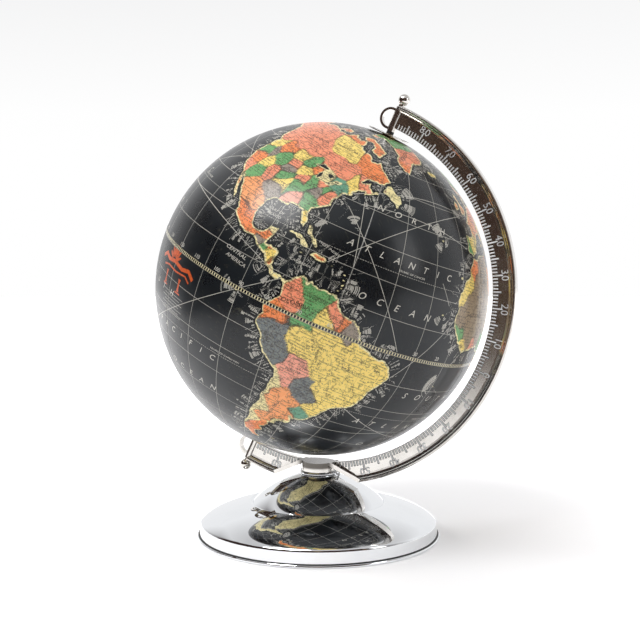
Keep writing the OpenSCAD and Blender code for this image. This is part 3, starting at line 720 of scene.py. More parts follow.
class Atlas:
    """Land, distance to the coast and country colour on one grid over the whole globe."""

    def __init__(self, step, seed):
        self.step = step
        self.rng = np.random.default_rng(seed)
        self.lats = np.linspace(-90, 90, round(180 / step) + 1)
        self.lons = np.arange(round(360 / step)) * step - 180
        self.coasts = []
        land = [read_run(text, 2) for text in (*MAINLANDS.values(), *ISLANDS.values())]
        land += [rounded_islet(*islet) for islet in read_run(ISLETS, 3)]
        lakes = [read_run(text, 2) for text in LAKES.values()]
        self.land = np.zeros((len(self.lats), len(self.lons)), bool)
        self.fill(land, True)
        self.fill(lakes, False)
        self.measure()
        self.paint()

    def fill(self, rings, value):
        """Marks the inside of the rings."""
        for ring in rings:
            start = self.coasts[-1][-1, 2] + COAST_GAP if self.coasts else 0
            line = roughen(ring, self.rng, start)
            self.coasts.append(line)
            here, there = line[:-1], line[1:]
            first = max(0, int((line[:, 1].min() + 90) / self.step))
            last = min(len(self.lats) - 1, int((line[:, 1].max() + 90) / self.step) + 1)
            for row in range(first, last + 1):
                lat = self.lats[row] + 1e-5
                cut = (here[:, 1] > lat) != (there[:, 1] > lat)
                a, b = here[cut], there[cut]
                crossings = np.sort(a[:, 0] + (lat - a[:, 1]) * (b[:, 0] - a[:, 0]) / (b[:, 1] - a[:, 1]))
                for west, east in zip(crossings[::2], crossings[1::2]):
                    low = math.ceil((west + 180) / self.step)
                    high = math.floor((east + 180) / self.step)
                    self.land[row, np.arange(low, high + 1) % len(self.lons)] = value

    def shared(self, line):
        """True where a ring runs inside other land, as at an isthmus."""
        rows = np.clip(np.round((line[:, 1] + 90) / self.step).astype(int), 1, len(self.lats) - 2)
        cols = np.round((line[:, 0] + 180) / self.step).astype(int)
        inside = np.ones(len(line), bool)
        for up in (-1, 0, 1):
            for over in (-1, 0, 1):
                inside &= self.land[rows + up, (cols + over) % len(self.lons)]
        return inside

    def measure(self):
        """Signed degrees to the coast, land positive, and the run of the nearest coast."""
        kept = [line[~self.shared(line)] for line in self.coasts]
        line = np.vstack(kept)
        tree = kdtree.KDTree(len(line))
        for index, way in enumerate(map_way(line[:, 0], line[:, 1])):
            tree.insert(way, index)
        tree.balance()
        lon, lat = np.meshgrid(self.lons, self.lats)
        ways = map_way(lon, lat)
        far = np.empty(lon.size)
        run = np.empty(lon.size)
        for index, way in enumerate(ways.reshape(-1, 3)):
            _, nearest, distance = tree.find(way)
            far[index] = distance
            run[index] = line[nearest, 2]
        far = np.degrees(2 * np.arcsin(np.clip(far / 2, 0, 1))).reshape(lon.shape)
        self.coast = np.where(self.land, far, -far)
        self.run = run.reshape(lon.shape)
        self.ways = ways

    def wobble(self, size, amount):
        """A smooth random push of every direction, so that borders wander."""
        pushed = self.ways.copy()
        for _ in range(BORDER_WAVES):
            wave = self.rng.normal(0, 1, 3)
            wave *= self.rng.uniform(0.6, 1.8) * size / np.linalg.norm(wave)
            push = self.rng.normal(0, 1, 3) * amount / math.sqrt(BORDER_WAVES)
            pushed += np.sin(self.ways @ wave + self.rng.uniform(0, math.tau))[..., None] * push
        return pushed

    def paint(self):
        """Colour of the nearest country, and how far its border is."""
        places = []
        shades = []
        for name, text in COUNTRIES.items():
            for lon, lat in read_run(text, 2):
                places.append((lon, lat))
                shades.append(tone(*PALETTE[name]))
        places = np.array(places)
        seeds = map_way(places[:, 0], places[:, 1])
        shades = np.array(shades)
        pushed = self.wobble(45, 0.012).reshape(-1, 3)
        facing = pushed @ seeds.T / np.linalg.norm(pushed, axis=1)[:, None]
        distance = np.degrees(np.arccos(np.clip(facing, -1, 1)))
        nearest = np.argmin(distance, 1)
        rows = np.arange(len(nearest))
        best = distance[rows, nearest]
        rival = np.where((shades[None, :, 0] == shades[nearest][:, :1]), 99.0, distance).min(1)
        self.edge = np.clip(rival - best, 0, 9).reshape(self.coast.shape)
        self.tint = shades[nearest].reshape(*self.coast.shape, 3)

    def sample(self, grid, lon, lat):
        """The grid's values at places that lie on it."""
        rows = np.clip(np.round((lat + 90) / self.step).astype(int), 0, len(self.lats) - 1)
        cols = np.round((lon + 180) / self.step).astype(int) % len(self.lons)
        return grid[rows, cols]


def grid_faces(rows, columns):
    """Quads of a sheet whose points run row by row."""
    wide = columns + 1
    faces = []
    for row in range(rows):
        for a in range(row * wide, row * wide + columns):
            faces.append((a, a + 1, a + 1 + wide, a + wide))
    return faces


def ring_faces(turns, sides, flipped=False):
    """Quads between the copies of a closed outline, one after another round a full turn."""
    faces = []
    for turn in range(turns):
        here = turn * sides
        there = (turn + 1) % turns * sides
        for k in range(sides):
            after = (k + 1) % sides
            quad = (here + k, there + k, there + after, here + after)
            faces.append((quad[0], *quad[:0:-1]) if flipped else quad)
    return faces


def spun_points(outline, turns):
    """Copies of an outline of radius and height, round the upright axis."""
    angles = np.linspace(0, math.tau, turns, endpoint=False)
    return np.array([(r * math.cos(a), r * math.sin(a), z) for a in angles for r, z in outline])


def shell(ball, lon0, lon1, lat0, lat1, step, thick, coarse=10):
    """A closed sheet of print: points, faces and the outer points' longitude and latitude."""
    across = round((lon1 - lon0) / step)
    upward = round((lat1 - lat0) / step)
    lon, lat = np.meshgrid(np.linspace(lon0, lon1, across + 1), np.linspace(lat0, lat1, upward + 1))
    outer = ball.points(lon, lat, np.zeros_like(lon)).reshape(-1, 3)
    wide = across + 1
    faces = grid_faces(upward, across)
    rows = list(range(0, upward, coarse)) + [upward]
    cols = list(range(0, across, coarse)) + [across]
    under_lon, under_lat = lon[np.ix_(rows, cols)], lat[np.ix_(rows, cols)]
    inner = ball.points(under_lon, under_lat, np.full_like(under_lon, -thick)).reshape(-1, 3)
    base = len(outer)
    narrow = len(cols)
    for a, b, c, d in grid_faces(len(rows) - 1, narrow - 1):
        faces.append((base + a, base + d, base + c, base + b))
    for j in range(len(cols) - 1):
        low = [cols[j] + k for k in range(cols[j + 1] - cols[j] + 1)]
        faces.append((*low[::-1], base + j, base + j + 1))
        top = base + (len(rows) - 1) * narrow
        high = [upward * wide + k for k in low]
        faces.append((*high, top + j + 1, top + j))
    for i in range(len(rows) - 1):
        run = list(range(rows[i], rows[i + 1] + 1))
        faces.append((*[k * wide for k in run], base + (i + 1) * narrow, base + i * narrow))
        right = [k * wide + across for k in run[::-1]]
        faces.append((*right, base + i * narrow + narrow - 1, base + (i + 1) * narrow + narrow - 1))
    return np.vstack([outer, inner]), faces, lon.ravel(), lat.ravel(), under_lon.ravel(), under_lat.ravel()


def link_mesh(name, points, faces, material):
    """A new object of points, faces and one material, in the scene."""
    mesh = bpy.data.meshes.new(name)
    mesh.from_pydata([tuple(point) for point in points], [], faces)
    mesh.materials.append(material)
    made = bpy.data.objects.new(name, mesh)
    bpy.context.collection.objects.link(made)
    return made


def add_piece(name, points, faces, material, body, smooth=True, replaced=None):
    """A mesh that rides on a body and takes the given finish."""
    piece = link_mesh(name, points, faces, material)
    piece.data.polygons.foreach_set("use_smooth", [smooth] * len(piece.data.polygons))
    piece.data.update()
    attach(piece, body)
    if replaced:
        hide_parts(replaced)
    return piece


def store(mesh, name, values, kind="FLOAT"):
    """Writes one value for every point of the mesh."""
    layer = mesh.attributes.new(name, kind, "POINT")
    field = {"FLOAT": "value", "FLOAT_VECTOR": "vector", "FLOAT_COLOR": "color"}[kind]
    layer.data.foreach_set(field, np.asarray(values, np.float32).ravel())


def course_plane(numbers):
    """Normal, middle and half length of the great circle between two places."""
    first = map_way(numbers[0], numbers[1])
    last = map_way(numbers[2], numbers[3])
    normal = np.cross(first, last)
    middle = (first + last) / np.linalg.norm(first + last)
    return normal / np.linalg.norm(normal), middle, float(first @ middle)


def sea_lettering(sheet, coast, run):
    """Short lines of letters standing out to sea from every coast. The chances only keep rows apart."""
    row = (run / SEA_ROW).whole()
    level = (run / SEA_ROW).part()
    out_to_sea = -1 * coast
    begin = 0.35 + sheet.chance(row, 3) * 0.5
    finish = begin + 0.9 + sheet.chance(row, 7) * 3.9
    spaced = out_to_sea / SEA_LETTER + sheet.chance(row, 23) * 5
    letter = spaced.whole()
    within = spaced.part()
    tall = 0.38 + sheet.chance(letter, row) * 0.2
    second = sheet.chance(letter, row + 40) > 0.3
    upright = within.between(0.08, 0.42) + within.between(0.52, 0.88) * second
    written = (out_to_sea > begin) * (out_to_sea < finish) * (sheet.chance(letter, row + 11) > 0.1)
    return written * level.between(0.06, tall) * upright * (sheet.chance(row, 19) > 0.24)


def land_lettering(sheet, lon, lat, narrow):
    """Broken words along the parallels. narrow is the cosine of the latitude."""
    line = lat / LAND_ROW + lon * 0.06
    text_row = line.whole()
    word = (lon * narrow / LAND_WORD + sheet.chance(text_row, 5)).whole()
    stroke_cell = (lon * narrow / LAND_LETTER).whole()
    stroke_part = (lon * narrow / LAND_LETTER).part()
    height = 0.38 + sheet.chance(stroke_cell, text_row) * 0.2
    written = (sheet.chance(word, text_row) > 0.44) * line.part().between(0.15, height)
    kept = sheet.chance(stroke_cell, text_row + 9) > 0.1
    return written * stroke_part.between(0.05, 0.72) * kept


def drawn_lines(sheet, sizes, lon, lat, way, narrow):
    """Graticule, dashed tropics and polar circles, and the sailing lines."""
    width = sizes.line_width
    graticule = lat.off(sizes.parallel_step).stroke(width)
    graticule = graticule.most((lon.off(sizes.meridian_step) * narrow).stroke(width))
    tropic = (abs(lat) - TROPIC).stroke(width) * ((lon * 1.1).part() < 0.62)
    polar = (abs(lat) - POLAR_CIRCLE).stroke(width) * ((lon * 0.6).part() < 0.62)
    lines = graticule.most(tropic).most(polar) * 0.62
    for numbers in read_run(COURSES, 4):
        normal, middle, reach = course_plane(numbers)
        close = (sheet.dot(way, normal) * DEGREES).stroke(width * 1.15)
        lines = lines.most(close * (sheet.dot(way, middle) > reach) * 0.8)
    return lines


def write_map(sheet, sizes, inks):
    """The printed sheets: sea, land, coasts, names in small type, lines and the worn varnish."""
    lon = sheet.stored("lon")
    lat = sheet.stored("lat")
    coast = sheet.stored("coast")
    edge = sheet.stored("edge")
    run = sheet.stored("run")
    tint = sheet.stored("tint", 0)
    way = sheet.stored("way", 1)
    narrow = (lat * (math.pi / 180)).cosine()

    fine = sheet.noise(way, 130, 3, 0.6)
    broad = sheet.noise(way, 3.2, 4, 0.55)
    grain = sheet.noise(way, 420, 2, 0.6)
    shore = coast + (fine - 0.5) * 0.5
    on_land = shore.ramp(-0.05, 0.09)

    sea_type = sea_lettering(sheet, coast, run)
    land_type = land_lettering(sheet, lon, lat, narrow)
    lines = drawn_lines(sheet, sizes, lon, lat, way, narrow)

    river = (sheet.noise(way, 14, 5, 0.55) - 0.5).stroke(0.011)
    river = river + (sheet.noise(way, 23, 5, 0.6) - 0.47).stroke(0.012)
    border = edge.stroke(0.34) * ((fine * 9).part() > 0.2)
    land_ink = (land_type * 0.7 + river * 0.6 + border * 0.85).least(0.9)
    mottled = sheet.mix(fine.ramp(0.3, 0.7) * 0.22, tint, darker(inks.shore, 0.9))
    rimmed = sheet.mix((0.46 + (broad - 0.5) * 1.1 - coast).ramp(-0.12, 0.16), mottled, inks.shore)
    ground = sheet.mix(land_ink, rimmed, inks.dark_ink)

    sea = sheet.mix(broad.ramp(0.35, 0.75), inks.sea, inks.sea_worn)
    sea = sheet.mix((sea_type * 0.8).most(lines), sea, inks.ink)
    land = sheet.mix(lines * 0.45, ground, inks.dark_ink)
    printed = sheet.mix(on_land, sea, land)
    rubs = sheet.noise(sheet.stretch(way, (6, 60, 9), (0.5, 0.3, 0.8)), 3.0, 4, 0.65).ramp(0.6, 0.75)
    chips = grain.ramp(0.74, 0.8) * broad.ramp(0.5, 0.6)
    shade = sheet.mix(rubs * 0.045 + chips * 0.35, printed, inks.shore)
    gloss = 0.24 + rubs * 0.14 + broad.ramp(0.4, 0.8) * 0.1 + fine * 0.05
    sheet.finish(
        Base_Color=shade, Roughness=gloss, Specular_IOR_Level=0.36, Coat_Weight=0.16, Coat_Roughness=0.14
    )


def write_band(sheet, inks):
    """The equator: pale bars between two rules, with a tape edge."""
    lon = sheet.stored("lon")
    lat = sheet.stored("lat")
    where = sheet.place()
    fine = sheet.noise(where, 900, 3, 0.6)
    rung = (lon + 0.5).part().between(0.34, 0.68)
    inside = 1 - (abs(lat) > 0.4)
    rules = (abs(lat) - 0.5).stroke(0.05)
    pale = (rung * inside).most(rules * 0.8)
    worn = sheet.noise(where, 160, 4, 0.6).ramp(0.35, 0.6) * 0.15 + 0.85
    bars = sheet.mix(fine.ramp(0.3, 0.7), inks.bars, darker(inks.bars, 0.86))
    shade = sheet.mix(pale * worn, inks.sea, bars)
    relief = sheet.bump(fine, 0.1, 0.0001)
    sheet.finish(Base_Color=shade, Roughness=0.2 + fine * 0.12, Coat_Weight=0.5, Normal=relief)


# ---------------------------------------------------------------- lettering
class Type:
    """Letters cut from the plain built-in typeface."""

    def __init__(self):
        self.known = {}

    def letter(self, text, shear, swell=0.0):
        """Flat-backed type one unit tall, centred on its width. swell fattens its strokes."""
        key = (text, shear, swell)
        if key not in self.known:
            curve = bpy.data.curves.new("letter", "FONT")
            curve.body = text
            curve.align_x = "CENTER"
            curve.shear = shear
            curve.offset = swell
            curve.extrude = 0.5
            curve.resolution_u = 3
            holder = bpy.data.objects.new("letter", curve)
            bpy.context.collection.objects.link(holder)
            graph = bpy.context.evaluated_depsgraph_get()
            mesh = bpy.data.meshes.new_from_object(holder.evaluated_get(graph))
            work = bmesh.new()
            work.from_mesh(mesh)
            bmesh.ops.remove_doubles(work, verts=work.verts, dist=1e-4)
            points = np.array([vert.co[:] for vert in work.verts])
            faces = [tuple(vert.index for vert in face.verts) for face in work.faces]
            work.free()
            bpy.data.objects.remove(holder)
            bpy.data.meshes.remove(mesh)
            bpy.data.curves.remove(curve)
            points[:, :2] /= 0.7
            points[:, 2] += 0.5
            self.known[key] = (points, faces)
        return self.known[key]

    def word(self, text, shear, spread=1.12, swell=0.0):
        """The same, centred on its height too, and spread sideways."""
        points, faces = self.letter(text, shear, swell)
        shaped = points.copy()
        shaped[:, 0] *= spread
        shaped[:, 1] -= 0.5
        return shaped, faces


class Pile:
    """Points and faces gathered into one mesh."""

    def __init__(self):
        self.points = []
        self.faces = []
        self.count = 0

    def put(self, points, faces):
        self.points.append(points)
        self.faces += [tuple(index + self.count for index in face) for face in faces]
        self.count += len(points)

    def add_piece(self, name, material, body, slot):
        return add_piece(name, np.vstack(self.points), self.faces, material, body, False)


def box_faces():
    """Faces of a block: four points under, four over."""
    return [(0, 3, 2, 1), (4, 5, 6, 7), (0, 1, 5, 4), (1, 2, 6, 5), (2, 3, 7, 6), (3, 0, 4, 7)]


def on_ball(ball, flat, lon, lat, height, turn, lift):
    """Lays a flat piece of type on the globe at a place. height and lift set its size and thickness."""
    bend = math.radians(turn)
    east = (flat[:, 0] * math.cos(bend) - flat[:, 1] * math.sin(bend)) * height
    north = (flat[:, 0] * math.sin(bend) + flat[:, 1] * math.cos(bend)) * height
    narrow = math.cos(math.radians(lat))
    return ball.points(lon + east / narrow, lat + north, lift * (flat[:, 2] - 0.1))


def on_ring(ball, across, outward, angle, radius, front, rise):
    """A point of the arm's front face: across runs clockwise, outward away from the globe."""
    bend = np.radians(angle)
    reach = radius + outward
    x = ball.centre.x + reach * np.cos(bend) + across * np.sin(bend)
    z = ball.centre.z + reach * np.sin(bend) - across * np.cos(bend)
    return np.stack([x, np.full_like(x, front) - rise, z], -1)


# ---------------------------------------------------------------- operators
def settings():
    """Map sizes, map colours, stand sizes and stand colours of this scene."""
    scene = bpy.context.scene
    groups = ("globe_map_sizes", "globe_map_colours", "globe_stand_sizes", "globe_stand_colours")
    return [getattr(scene, group) for group in groups]


class GLOBE_OT_print(bpy.types.Operator):
    """Builds the printed sheets of both hemispheres"""

    bl_idname = "globe.print_sheets"
    bl_label = "Printed sheets"

    def execute(self, context):
        sizes, inks, _, _ = settings()
        ball = Ball(sizes)
        atlas = Atlas(sizes.fineness, context.scene.globe_studio.seed)
        material = new_material("map_print", write_map, sizes, inks)
        halves = (
            ("north", "north_gores", HALF_SEAM, sizes.pole_hole),
            ("south", "south_gores", -sizes.pole_hole, -HALF_SEAM),
        )
        span = sizes.gore_span
        for half, node, low, high in halves:
            for index in range(round(360 / span)):
                west = -180 + span * index
                made = shell(
                    ball, west + sizes.gore_seam, west + span - sizes.gore_seam, low, high,
                    sizes.fineness, sizes.print_thickness,
                )
                points, faces, lon, lat, under_lon, under_lat = made
                name = f"{half}_print_{index + 1}"
                piece = add_piece(name, points, faces, material, "globe", replaced=node)
                self.mark(
                    piece.data, atlas, np.concatenate([lon, under_lon]), np.concatenate([lat, under_lat])
                )
        return {"FINISHED"}

    def mark(self, mesh, atlas, lon, lat):
        """Stores on every point what its material reads."""
        store(mesh, "lon", lon)
        store(mesh, "lat", lat)
        for field in ("coast", "edge", "run"):
            store(mesh, field, atlas.sample(getattr(atlas, field), lon, lat))
        store(mesh, "way", map_way(lon, lat), "FLOAT_VECTOR")
        tints = atlas.sample(atlas.tint, lon, lat)
        store(mesh, "tint", np.column_stack([tints, np.ones(len(tints))]), "FLOAT_COLOR")


class GLOBE_OT_band(bpy.types.Operator):
    """Builds the equator tape"""

    bl_idname = "globe.equator_tape"
    bl_label = "Equator tape"

    def execute(self, context):
        sizes, inks, _, _ = settings()
        ball = Ball(sizes)
        half = math.degrees(sizes.band_half / ball.radius)
        edge = half * 0.93
        section = (
            (-half, 0.03 * MM), (-half, 0.1 * MM), (-edge, sizes.band_lift), (0, sizes.band_lift),
            (edge, sizes.band_lift), (half, 0.1 * MM), (half, 0.03 * MM), (0, 0.03 * MM),
        )
        lon = np.repeat(np.linspace(-180, 180, BAND_TURNS, endpoint=False), len(section))
        lat = np.tile([place for place, _ in section], BAND_TURNS)
        lift = np.tile([rise for _, rise in section], BAND_TURNS)
        faces = ring_faces(BAND_TURNS, len(section))
        material = new_material("equator_print", write_band, inks)
        points = ball.points(lon, lat, lift)
        piece = add_piece(
            "equator_tape", points, faces, material, "globe", replaced="equator_band"
        )
        store(piece.data, "lon", lon)
        store(piece.data, "lat", lat)
        return {"FINISHED"}


def ribbon(pile, ball, lift, places, width, level=1.0):
    """Adds a printed stroke through places. A width of several numbers swells along it."""
    places = np.array(places, float)
    dense = []
    for first, last in zip(places[:-1], places[1:]):
        dense += [first + (last - first) * step / 6 for step in range(6)]
    dense = np.array(dense + [places[-1]])
    run = np.gradient(dense, axis=0)
    run /= np.hypot(run[:, 0], run[:, 1])[:, None]
    widths = np.full(len(dense), width) if np.isscalar(width) else np.interp(
        np.linspace(0, 1, len(dense)), np.linspace(0, 1, len(width)), width
    )
    sidestep = np.stack([-run[:, 1], run[:, 0]], 1) * widths[:, None] / 2
    left, right = dense + sidestep, dense - sidestep
    lower = 0.1 * lift
    upper = lift * level
    rings = [
        ball.points(side[:, 0], side[:, 1], np.full(len(side), rise))
        for side, rise in ((left, lower), (right, lower), (right, upper), (left, upper))
    ]
    count = len(dense)
    faces = []
    for step in range(count - 1):
        for k in range(4):
            a = k * count + step
            b = (k + 1) % 4 * count + step
            faces.append((a, a + 1, b + 1, b))
    faces.append((0, count, 2 * count, 3 * count))
    faces.append((count - 1, 4 * count - 1, 3 * count - 1, 2 * count - 1))
    pile.put(np.vstack(rings), faces)


class GLOBE_OT_names(bpy.types.Operator):
    """Lays the names of seas and lands, the equator's numbers and the ornament on the print"""

    bl_idname = "globe.names"
    bl_label = "Names and ornament"

    def execute(self, context):
        sizes, inks, _, _ = settings()
        ball = Ball(sizes)
        letters = Type()
        light = Pile()
        dark = Pile()
        lift = sizes.ink_lift
        for text, first, last in SEA_NAMES:
            for index, letter in enumerate(text):
                share = index / (len(text) - 1)
                lon = first[0] + (last[0] - first[0]) * share
                lat = first[1] + (last[1] - first[1]) * share
                flat, faces = letters.word(letter, 0.28, 1.0)
                light.put(on_ball(ball, flat, lon, lat, sizes.name_height, -2, lift), faces)
        for text, place, height, turn, pale in SMALL_NAMES:
            flat, faces = letters.word(text, 0.2 if pale else 0, 1.2)
            pile = light if pale else dark
            pile.put(on_ball(ball, flat, *place, height, turn, lift), faces)
        for lon in range(-180, 180, 10):
            if lon:
                flat, faces = letters.word(str(abs(lon)), 0.1, 1.0)
                light.put(on_ball(ball, flat, lon, 1.75, 1.25, 0, lift), faces)
        pale = new_material("light_ink", ink_like, inks.ink, darker(inks.ink, 0.75), 0.3)
        black = new_material("dark_ink", ink_like, inks.dark_ink, darker(inks.dark_ink, 0.6), 0.3)
        light.add_piece("light_names", pale, "globe", "map_print")
        dark.add_piece("dark_names", black, "globe", "map_print")
        self.ornament(ball, inks, sizes)
        return {"FINISHED"}

    def ornament(self, ball, inks, sizes):
        """A fan over a ribbon on two posts, with plain rules under it."""
        bold = Pile()
        fine = Pile()

        for step in range(FAN_BLADES):
            lean = math.radians(-66 + 22 * step)
            tip = (-121.5 + 4.4 * math.sin(lean), -4.4 + 5.2 * math.cos(lean))
            root = (-121.5 + 1.3 * math.sin(lean), -4.4 + 1.2 * math.cos(lean))
            ribbon(bold, ball, sizes.ink_lift, [root, tip], (0.35, 1.1, 0.5))
        for places, width, level in ORNAMENT_RIBBONS:
            ribbon(bold, ball, sizes.ink_lift, read_run(places, 2), width, level)
        for post in ORNAMENT_POSTS:
            ribbon(bold, ball, sizes.ink_lift, [(post, -8.2), (post, -12.4)], (1.5, 0.8, 0.8, 1.5))
            ribbon(bold, ball, sizes.ink_lift, [(post - 1.6, -12.9), (post + 1.6, -12.9)], 0.45, 0.85)
        for index in range(ORNAMENT_RULES):
            reach = 5.4 if index % 2 else 7.2
            lat = -14.2 - 1.05 * index
            ribbon(fine, ball, sizes.ink_lift, [(-117.5 - reach, lat), (-117.5 + reach, lat)], 0.16)
        warm = new_material("ornament_ink", ink_like, inks.ornament, darker(inks.ornament, 0.6), 0.25)
        plain = new_material("rule_ink", ink_like, darker(inks.ink, 0.6), darker(inks.ink, 0.4), 0.3)
        bold.add_piece("ornament", warm, "globe", "map_print")
        fine.add_piece("ornament_rules", plain, "globe", "map_print")


class GLOBE_OT_scale(bpy.types.Operator):
    """Builds the arm's degree scale and numbers and the hour dial's figures"""

    bl_idname = "globe.scales"
    bl_label = "Arm scale and hour figures"

    def execute(self, context):
        sizes, _, stand, tones = settings()
        ball = Ball(sizes)
        inner = ball.radius + stand.arm_gap
        front = -stand.arm_face
        ticks = Pile()
        scale_shadows = Pile()
        for degree in range(-88, 89):
            angle = degree - sizes.tilt - stand.scale_turn
            reach = stand.tick_short
            if degree % 10 == 0:
                reach = stand.tick_long
            elif degree % 5 == 0:
                reach = stand.tick_middle
            half = stand.tick_width / 2
            start = stand.tick_start
            crown = stand.relief
            corners = ((-half, start), (half, start), (half, reach), (-half, reach))
            across = np.array([x for x, _ in corners] + [x * 0.6 for x, _ in corners])
            outward = np.array([y for _, y in corners] + [y * 0.94 + start * 0.5 for _, y in corners])
            rise = np.array([-0.02 * MM] * 4 + [crown] * 4)
            ticks.put(on_ring(ball, across, outward, angle, inner, front, rise), box_faces())
            # each bar gets a larger dark block under it: painted shadow round its raised edges
            wide = np.array([x + math.copysign(stand.groove, x) for x, _ in corners] * 2)
            long = np.array([y + (stand.groove if y > start else 0) for _, y in corners] * 2)
            scale_shadows.put(on_ring(ball, wide, long, angle, inner, front, rise * 0.25), box_faces())
        letters = Type()
        numbers = Pile()
        for degree in range(-80, 81, 10):
            text = str(abs(degree))
            angle = degree - sizes.tilt - stand.scale_turn
            for index, digit in enumerate(text):
                side = 0 if len(text) == 1 else (index - 0.5) * stand.numeral_height * 0.86
                # each digit also gets a swollen dark copy under it: painted shadow round its raised edges
                for pile, swell, thick in ((numbers, 0.0, 1.1), (scale_shadows, 0.025, 0.4)):
                    flat, faces = letters.word(digit, 0, 1.0, swell)
                    across = flat[:, 0] * stand.numeral_height + side
                    outward = flat[:, 1] * stand.numeral_height
                    rise = stand.relief * (flat[:, 2] * thick - 0.1)
                    pile.put(on_ring(ball, across, outward, angle, stand.numeral_radius, front, rise), faces)
        bright = new_material("scale_metal", plated, tones.chrome, tones.nickel, 0.42, 0.6)
        # the dark margins under the scale are painted shadow round the raised bars and numbers
        black = new_material("groove_lacquer", ink_like, tones.dark, darker(tones.aged, 0.3), 0.35)
        scale_shadows.add_piece("arm_grooves", black, "stand", "arm_nickel")
        ticks.add_piece("arm_scale", bright, "stand", "arm_nickel")
        numbers.add_piece("arm_numbers", bright, "stand", "arm_nickel")
        self.hours(ball, stand, tones, letters)
        return {"FINISHED"}

    def hours(self, ball, stand, tones, letters):
        """Twice twelve hours round the dial."""
        figures = Pile()
        reach = ball.radius + stand.dial_lift
        for hour in range(24):
            angle = math.radians(hour * 15)
            outward = ball.start * math.cos(angle) + ball.side * math.sin(angle)
            around = ball.side * math.cos(angle) - ball.start * math.sin(angle)
            middle = ball.centre + ball.axis * reach + outward * stand.hour_radius
            flat, faces = letters.word(str((hour + 11) % 12 + 1), 0, 0.9)
            points = [
                middle
                + around * (-x * stand.hour_height)
                + outward * (-y * stand.hour_height)
                + ball.axis * ((z - 0.1) * 0.06 * MM)
                for x, y, z in flat
            ]
            figures.put(np.array([tuple(point) for point in points]), faces)
            mark = [
                middle + outward * (across * MM) + around * (along * MM) + ball.axis * (up * MM)
                for up in (-0.01, 0.06)
                for across, along in ((2.2, -0.15), (3.4, -0.15), (3.4, 0.15), (2.2, 0.15))
            ]
            figures.put(np.array([tuple(point) for point in mark]), box_faces())
        black = new_material("dial_ink", ink_like, tones.dark, darker(tones.dark, 0.5), 0.4)
        figures.add_piece("hour_figures", black, "hour_dial", "dial_metal")


def arc(centre, radius, start, end, count):
    """Points of an arc, from start to end in degrees."""
    angles = np.radians(np.linspace(start, end, count + 1))
    return np.array(centre) + radius * np.stack([np.cos(angles), np.sin(angles)], -1)


def bend(first, toward, last, count):
    """Points of a curve that leaves first and reaches last along lines to toward."""
    t = np.linspace(0, 1, count + 1)[:, None]
    first, toward, last = (np.array(place) for place in (first, toward, last))
    return (1 - t) ** 2 * first + 2 * t * (1 - t) * toward + t**2 * last


def tangents_meet(first, first_slope, last, last_slope):
    """Where two falling tangents cross."""
    a = np.array([math.cos(first_slope), -math.sin(first_slope)])
    b = np.array([math.cos(last_slope), -math.sin(last_slope)])
    gap = last - first
    return first + a * (gap[0] * b[1] - gap[1] * b[0]) / (a[0] * b[1] - a[1] * b[0])


def spun_outline(base, foot, bottom):
    """The spun sheet's closed outline as radius and height: dome, ridge, dish, band, and back inside."""
    edge = np.array([foot - base.band_lean - base.band_round, base.band_height])
    crown = np.array([base.ridge_radius, base.ridge_height - base.ridge_round])
    rise = math.radians(base.ridge_slope)
    fall = math.radians(base.edge_slope)
    start = crown + base.ridge_round * np.array([math.sin(rise), math.cos(rise)])
    end = edge + base.band_round * np.array([math.sin(fall), math.cos(fall)])
    dome = bend(
        (base.collar_radius, base.dome_height),
        (base.ridge_radius - 14 * MM, base.dome_height - 12 * MM),
        (base.ridge_radius - 2.6 * MM, base.ridge_height - 1 * MM),
        DOME_STEPS,
    )
    outside = np.vstack([
        [[base.bolt_hole, base.dome_height], [base.collar_radius * 0.5, base.dome_height]],
        dome,
        arc(crown, base.ridge_round, 150, 90 - base.ridge_slope, ROUND_STEPS)[:-1],
        bend(start, tangents_meet(start, rise, end, fall), end, DOME_STEPS),
        arc(edge, base.band_round, 90 - base.edge_slope, 0, ROUND_STEPS)[1:],
        [[foot - 0.02 * MM, bottom + 0.2 * MM], [foot - 0.2 * MM, bottom]],
    ])
    run = np.gradient(outside, axis=0)
    run /= np.hypot(run[:, 0], run[:, 1])[:, None]
    inside = outside + base.sheet * np.stack([run[:, 1], -run[:, 0]], -1)
    inside[0] = [base.bolt_hole, base.dome_height - base.sheet]
    inside[-1] = [foot - base.sheet, bottom]
    return np.vstack([outside, inside[::-4], inside[:1]])


class GLOBE_OT_base(bpy.types.Operator):
    """Spins the base's chromed sheet smoothly from its outline"""

    bl_idname = "globe.spun_base"
    bl_label = "Spun base"

    def execute(self, context):
        base = context.scene.globe_base_sizes
        tones = context.scene.globe_stand_colours
        low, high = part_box("base_shell")
        foot = Vector(high).x
        bottom = Vector(low).z
        loop = spun_outline(base, foot, bottom)
        points = spun_points(loop, BASE_TURNS)
        faces = ring_faces(BASE_TURNS, len(loop), flipped=True)
        chrome = new_material("base_mirror", plated, tones.chrome, darker(tones.chrome, 0.92), 0.02, 0.15)
        spun = add_piece("spun_shell", points, faces, chrome, "stand", replaced="base_shell")
        spun.data.set_sharp_from_angle(angle=math.radians(35))
        # painted shadow: a dark ring laid in the groove between the band and the foot ring
        self.gasket(foot, bottom, tones)
        return {"FINISHED"}

    def gasket(self, foot, bottom, tones):
        """Painted shadow: a dark ring that makes the dark line in the groove between the band and the foot
        ring.
        """
        hidden = foot - 0.8 * MM
        rim = foot + 1.1 * MM
        low = bottom - 0.58 * MM
        high = bottom - 0.04 * MM
        swell = (rim + 0.1 * MM, (low + high) / 2)
        section = ((hidden, low), (rim, low), swell, (rim, high), (hidden, high))
        points = spun_points(section, BASE_TURNS)
        faces = ring_faces(BASE_TURNS, len(section))
        black = new_material(
            "gasket_lacquer", cloth_like, tones.dark, darker(tones.dark, 0.5), 900, 0.4, 0.0001
        )
        add_piece("groove_gasket", points, faces, black, "stand")


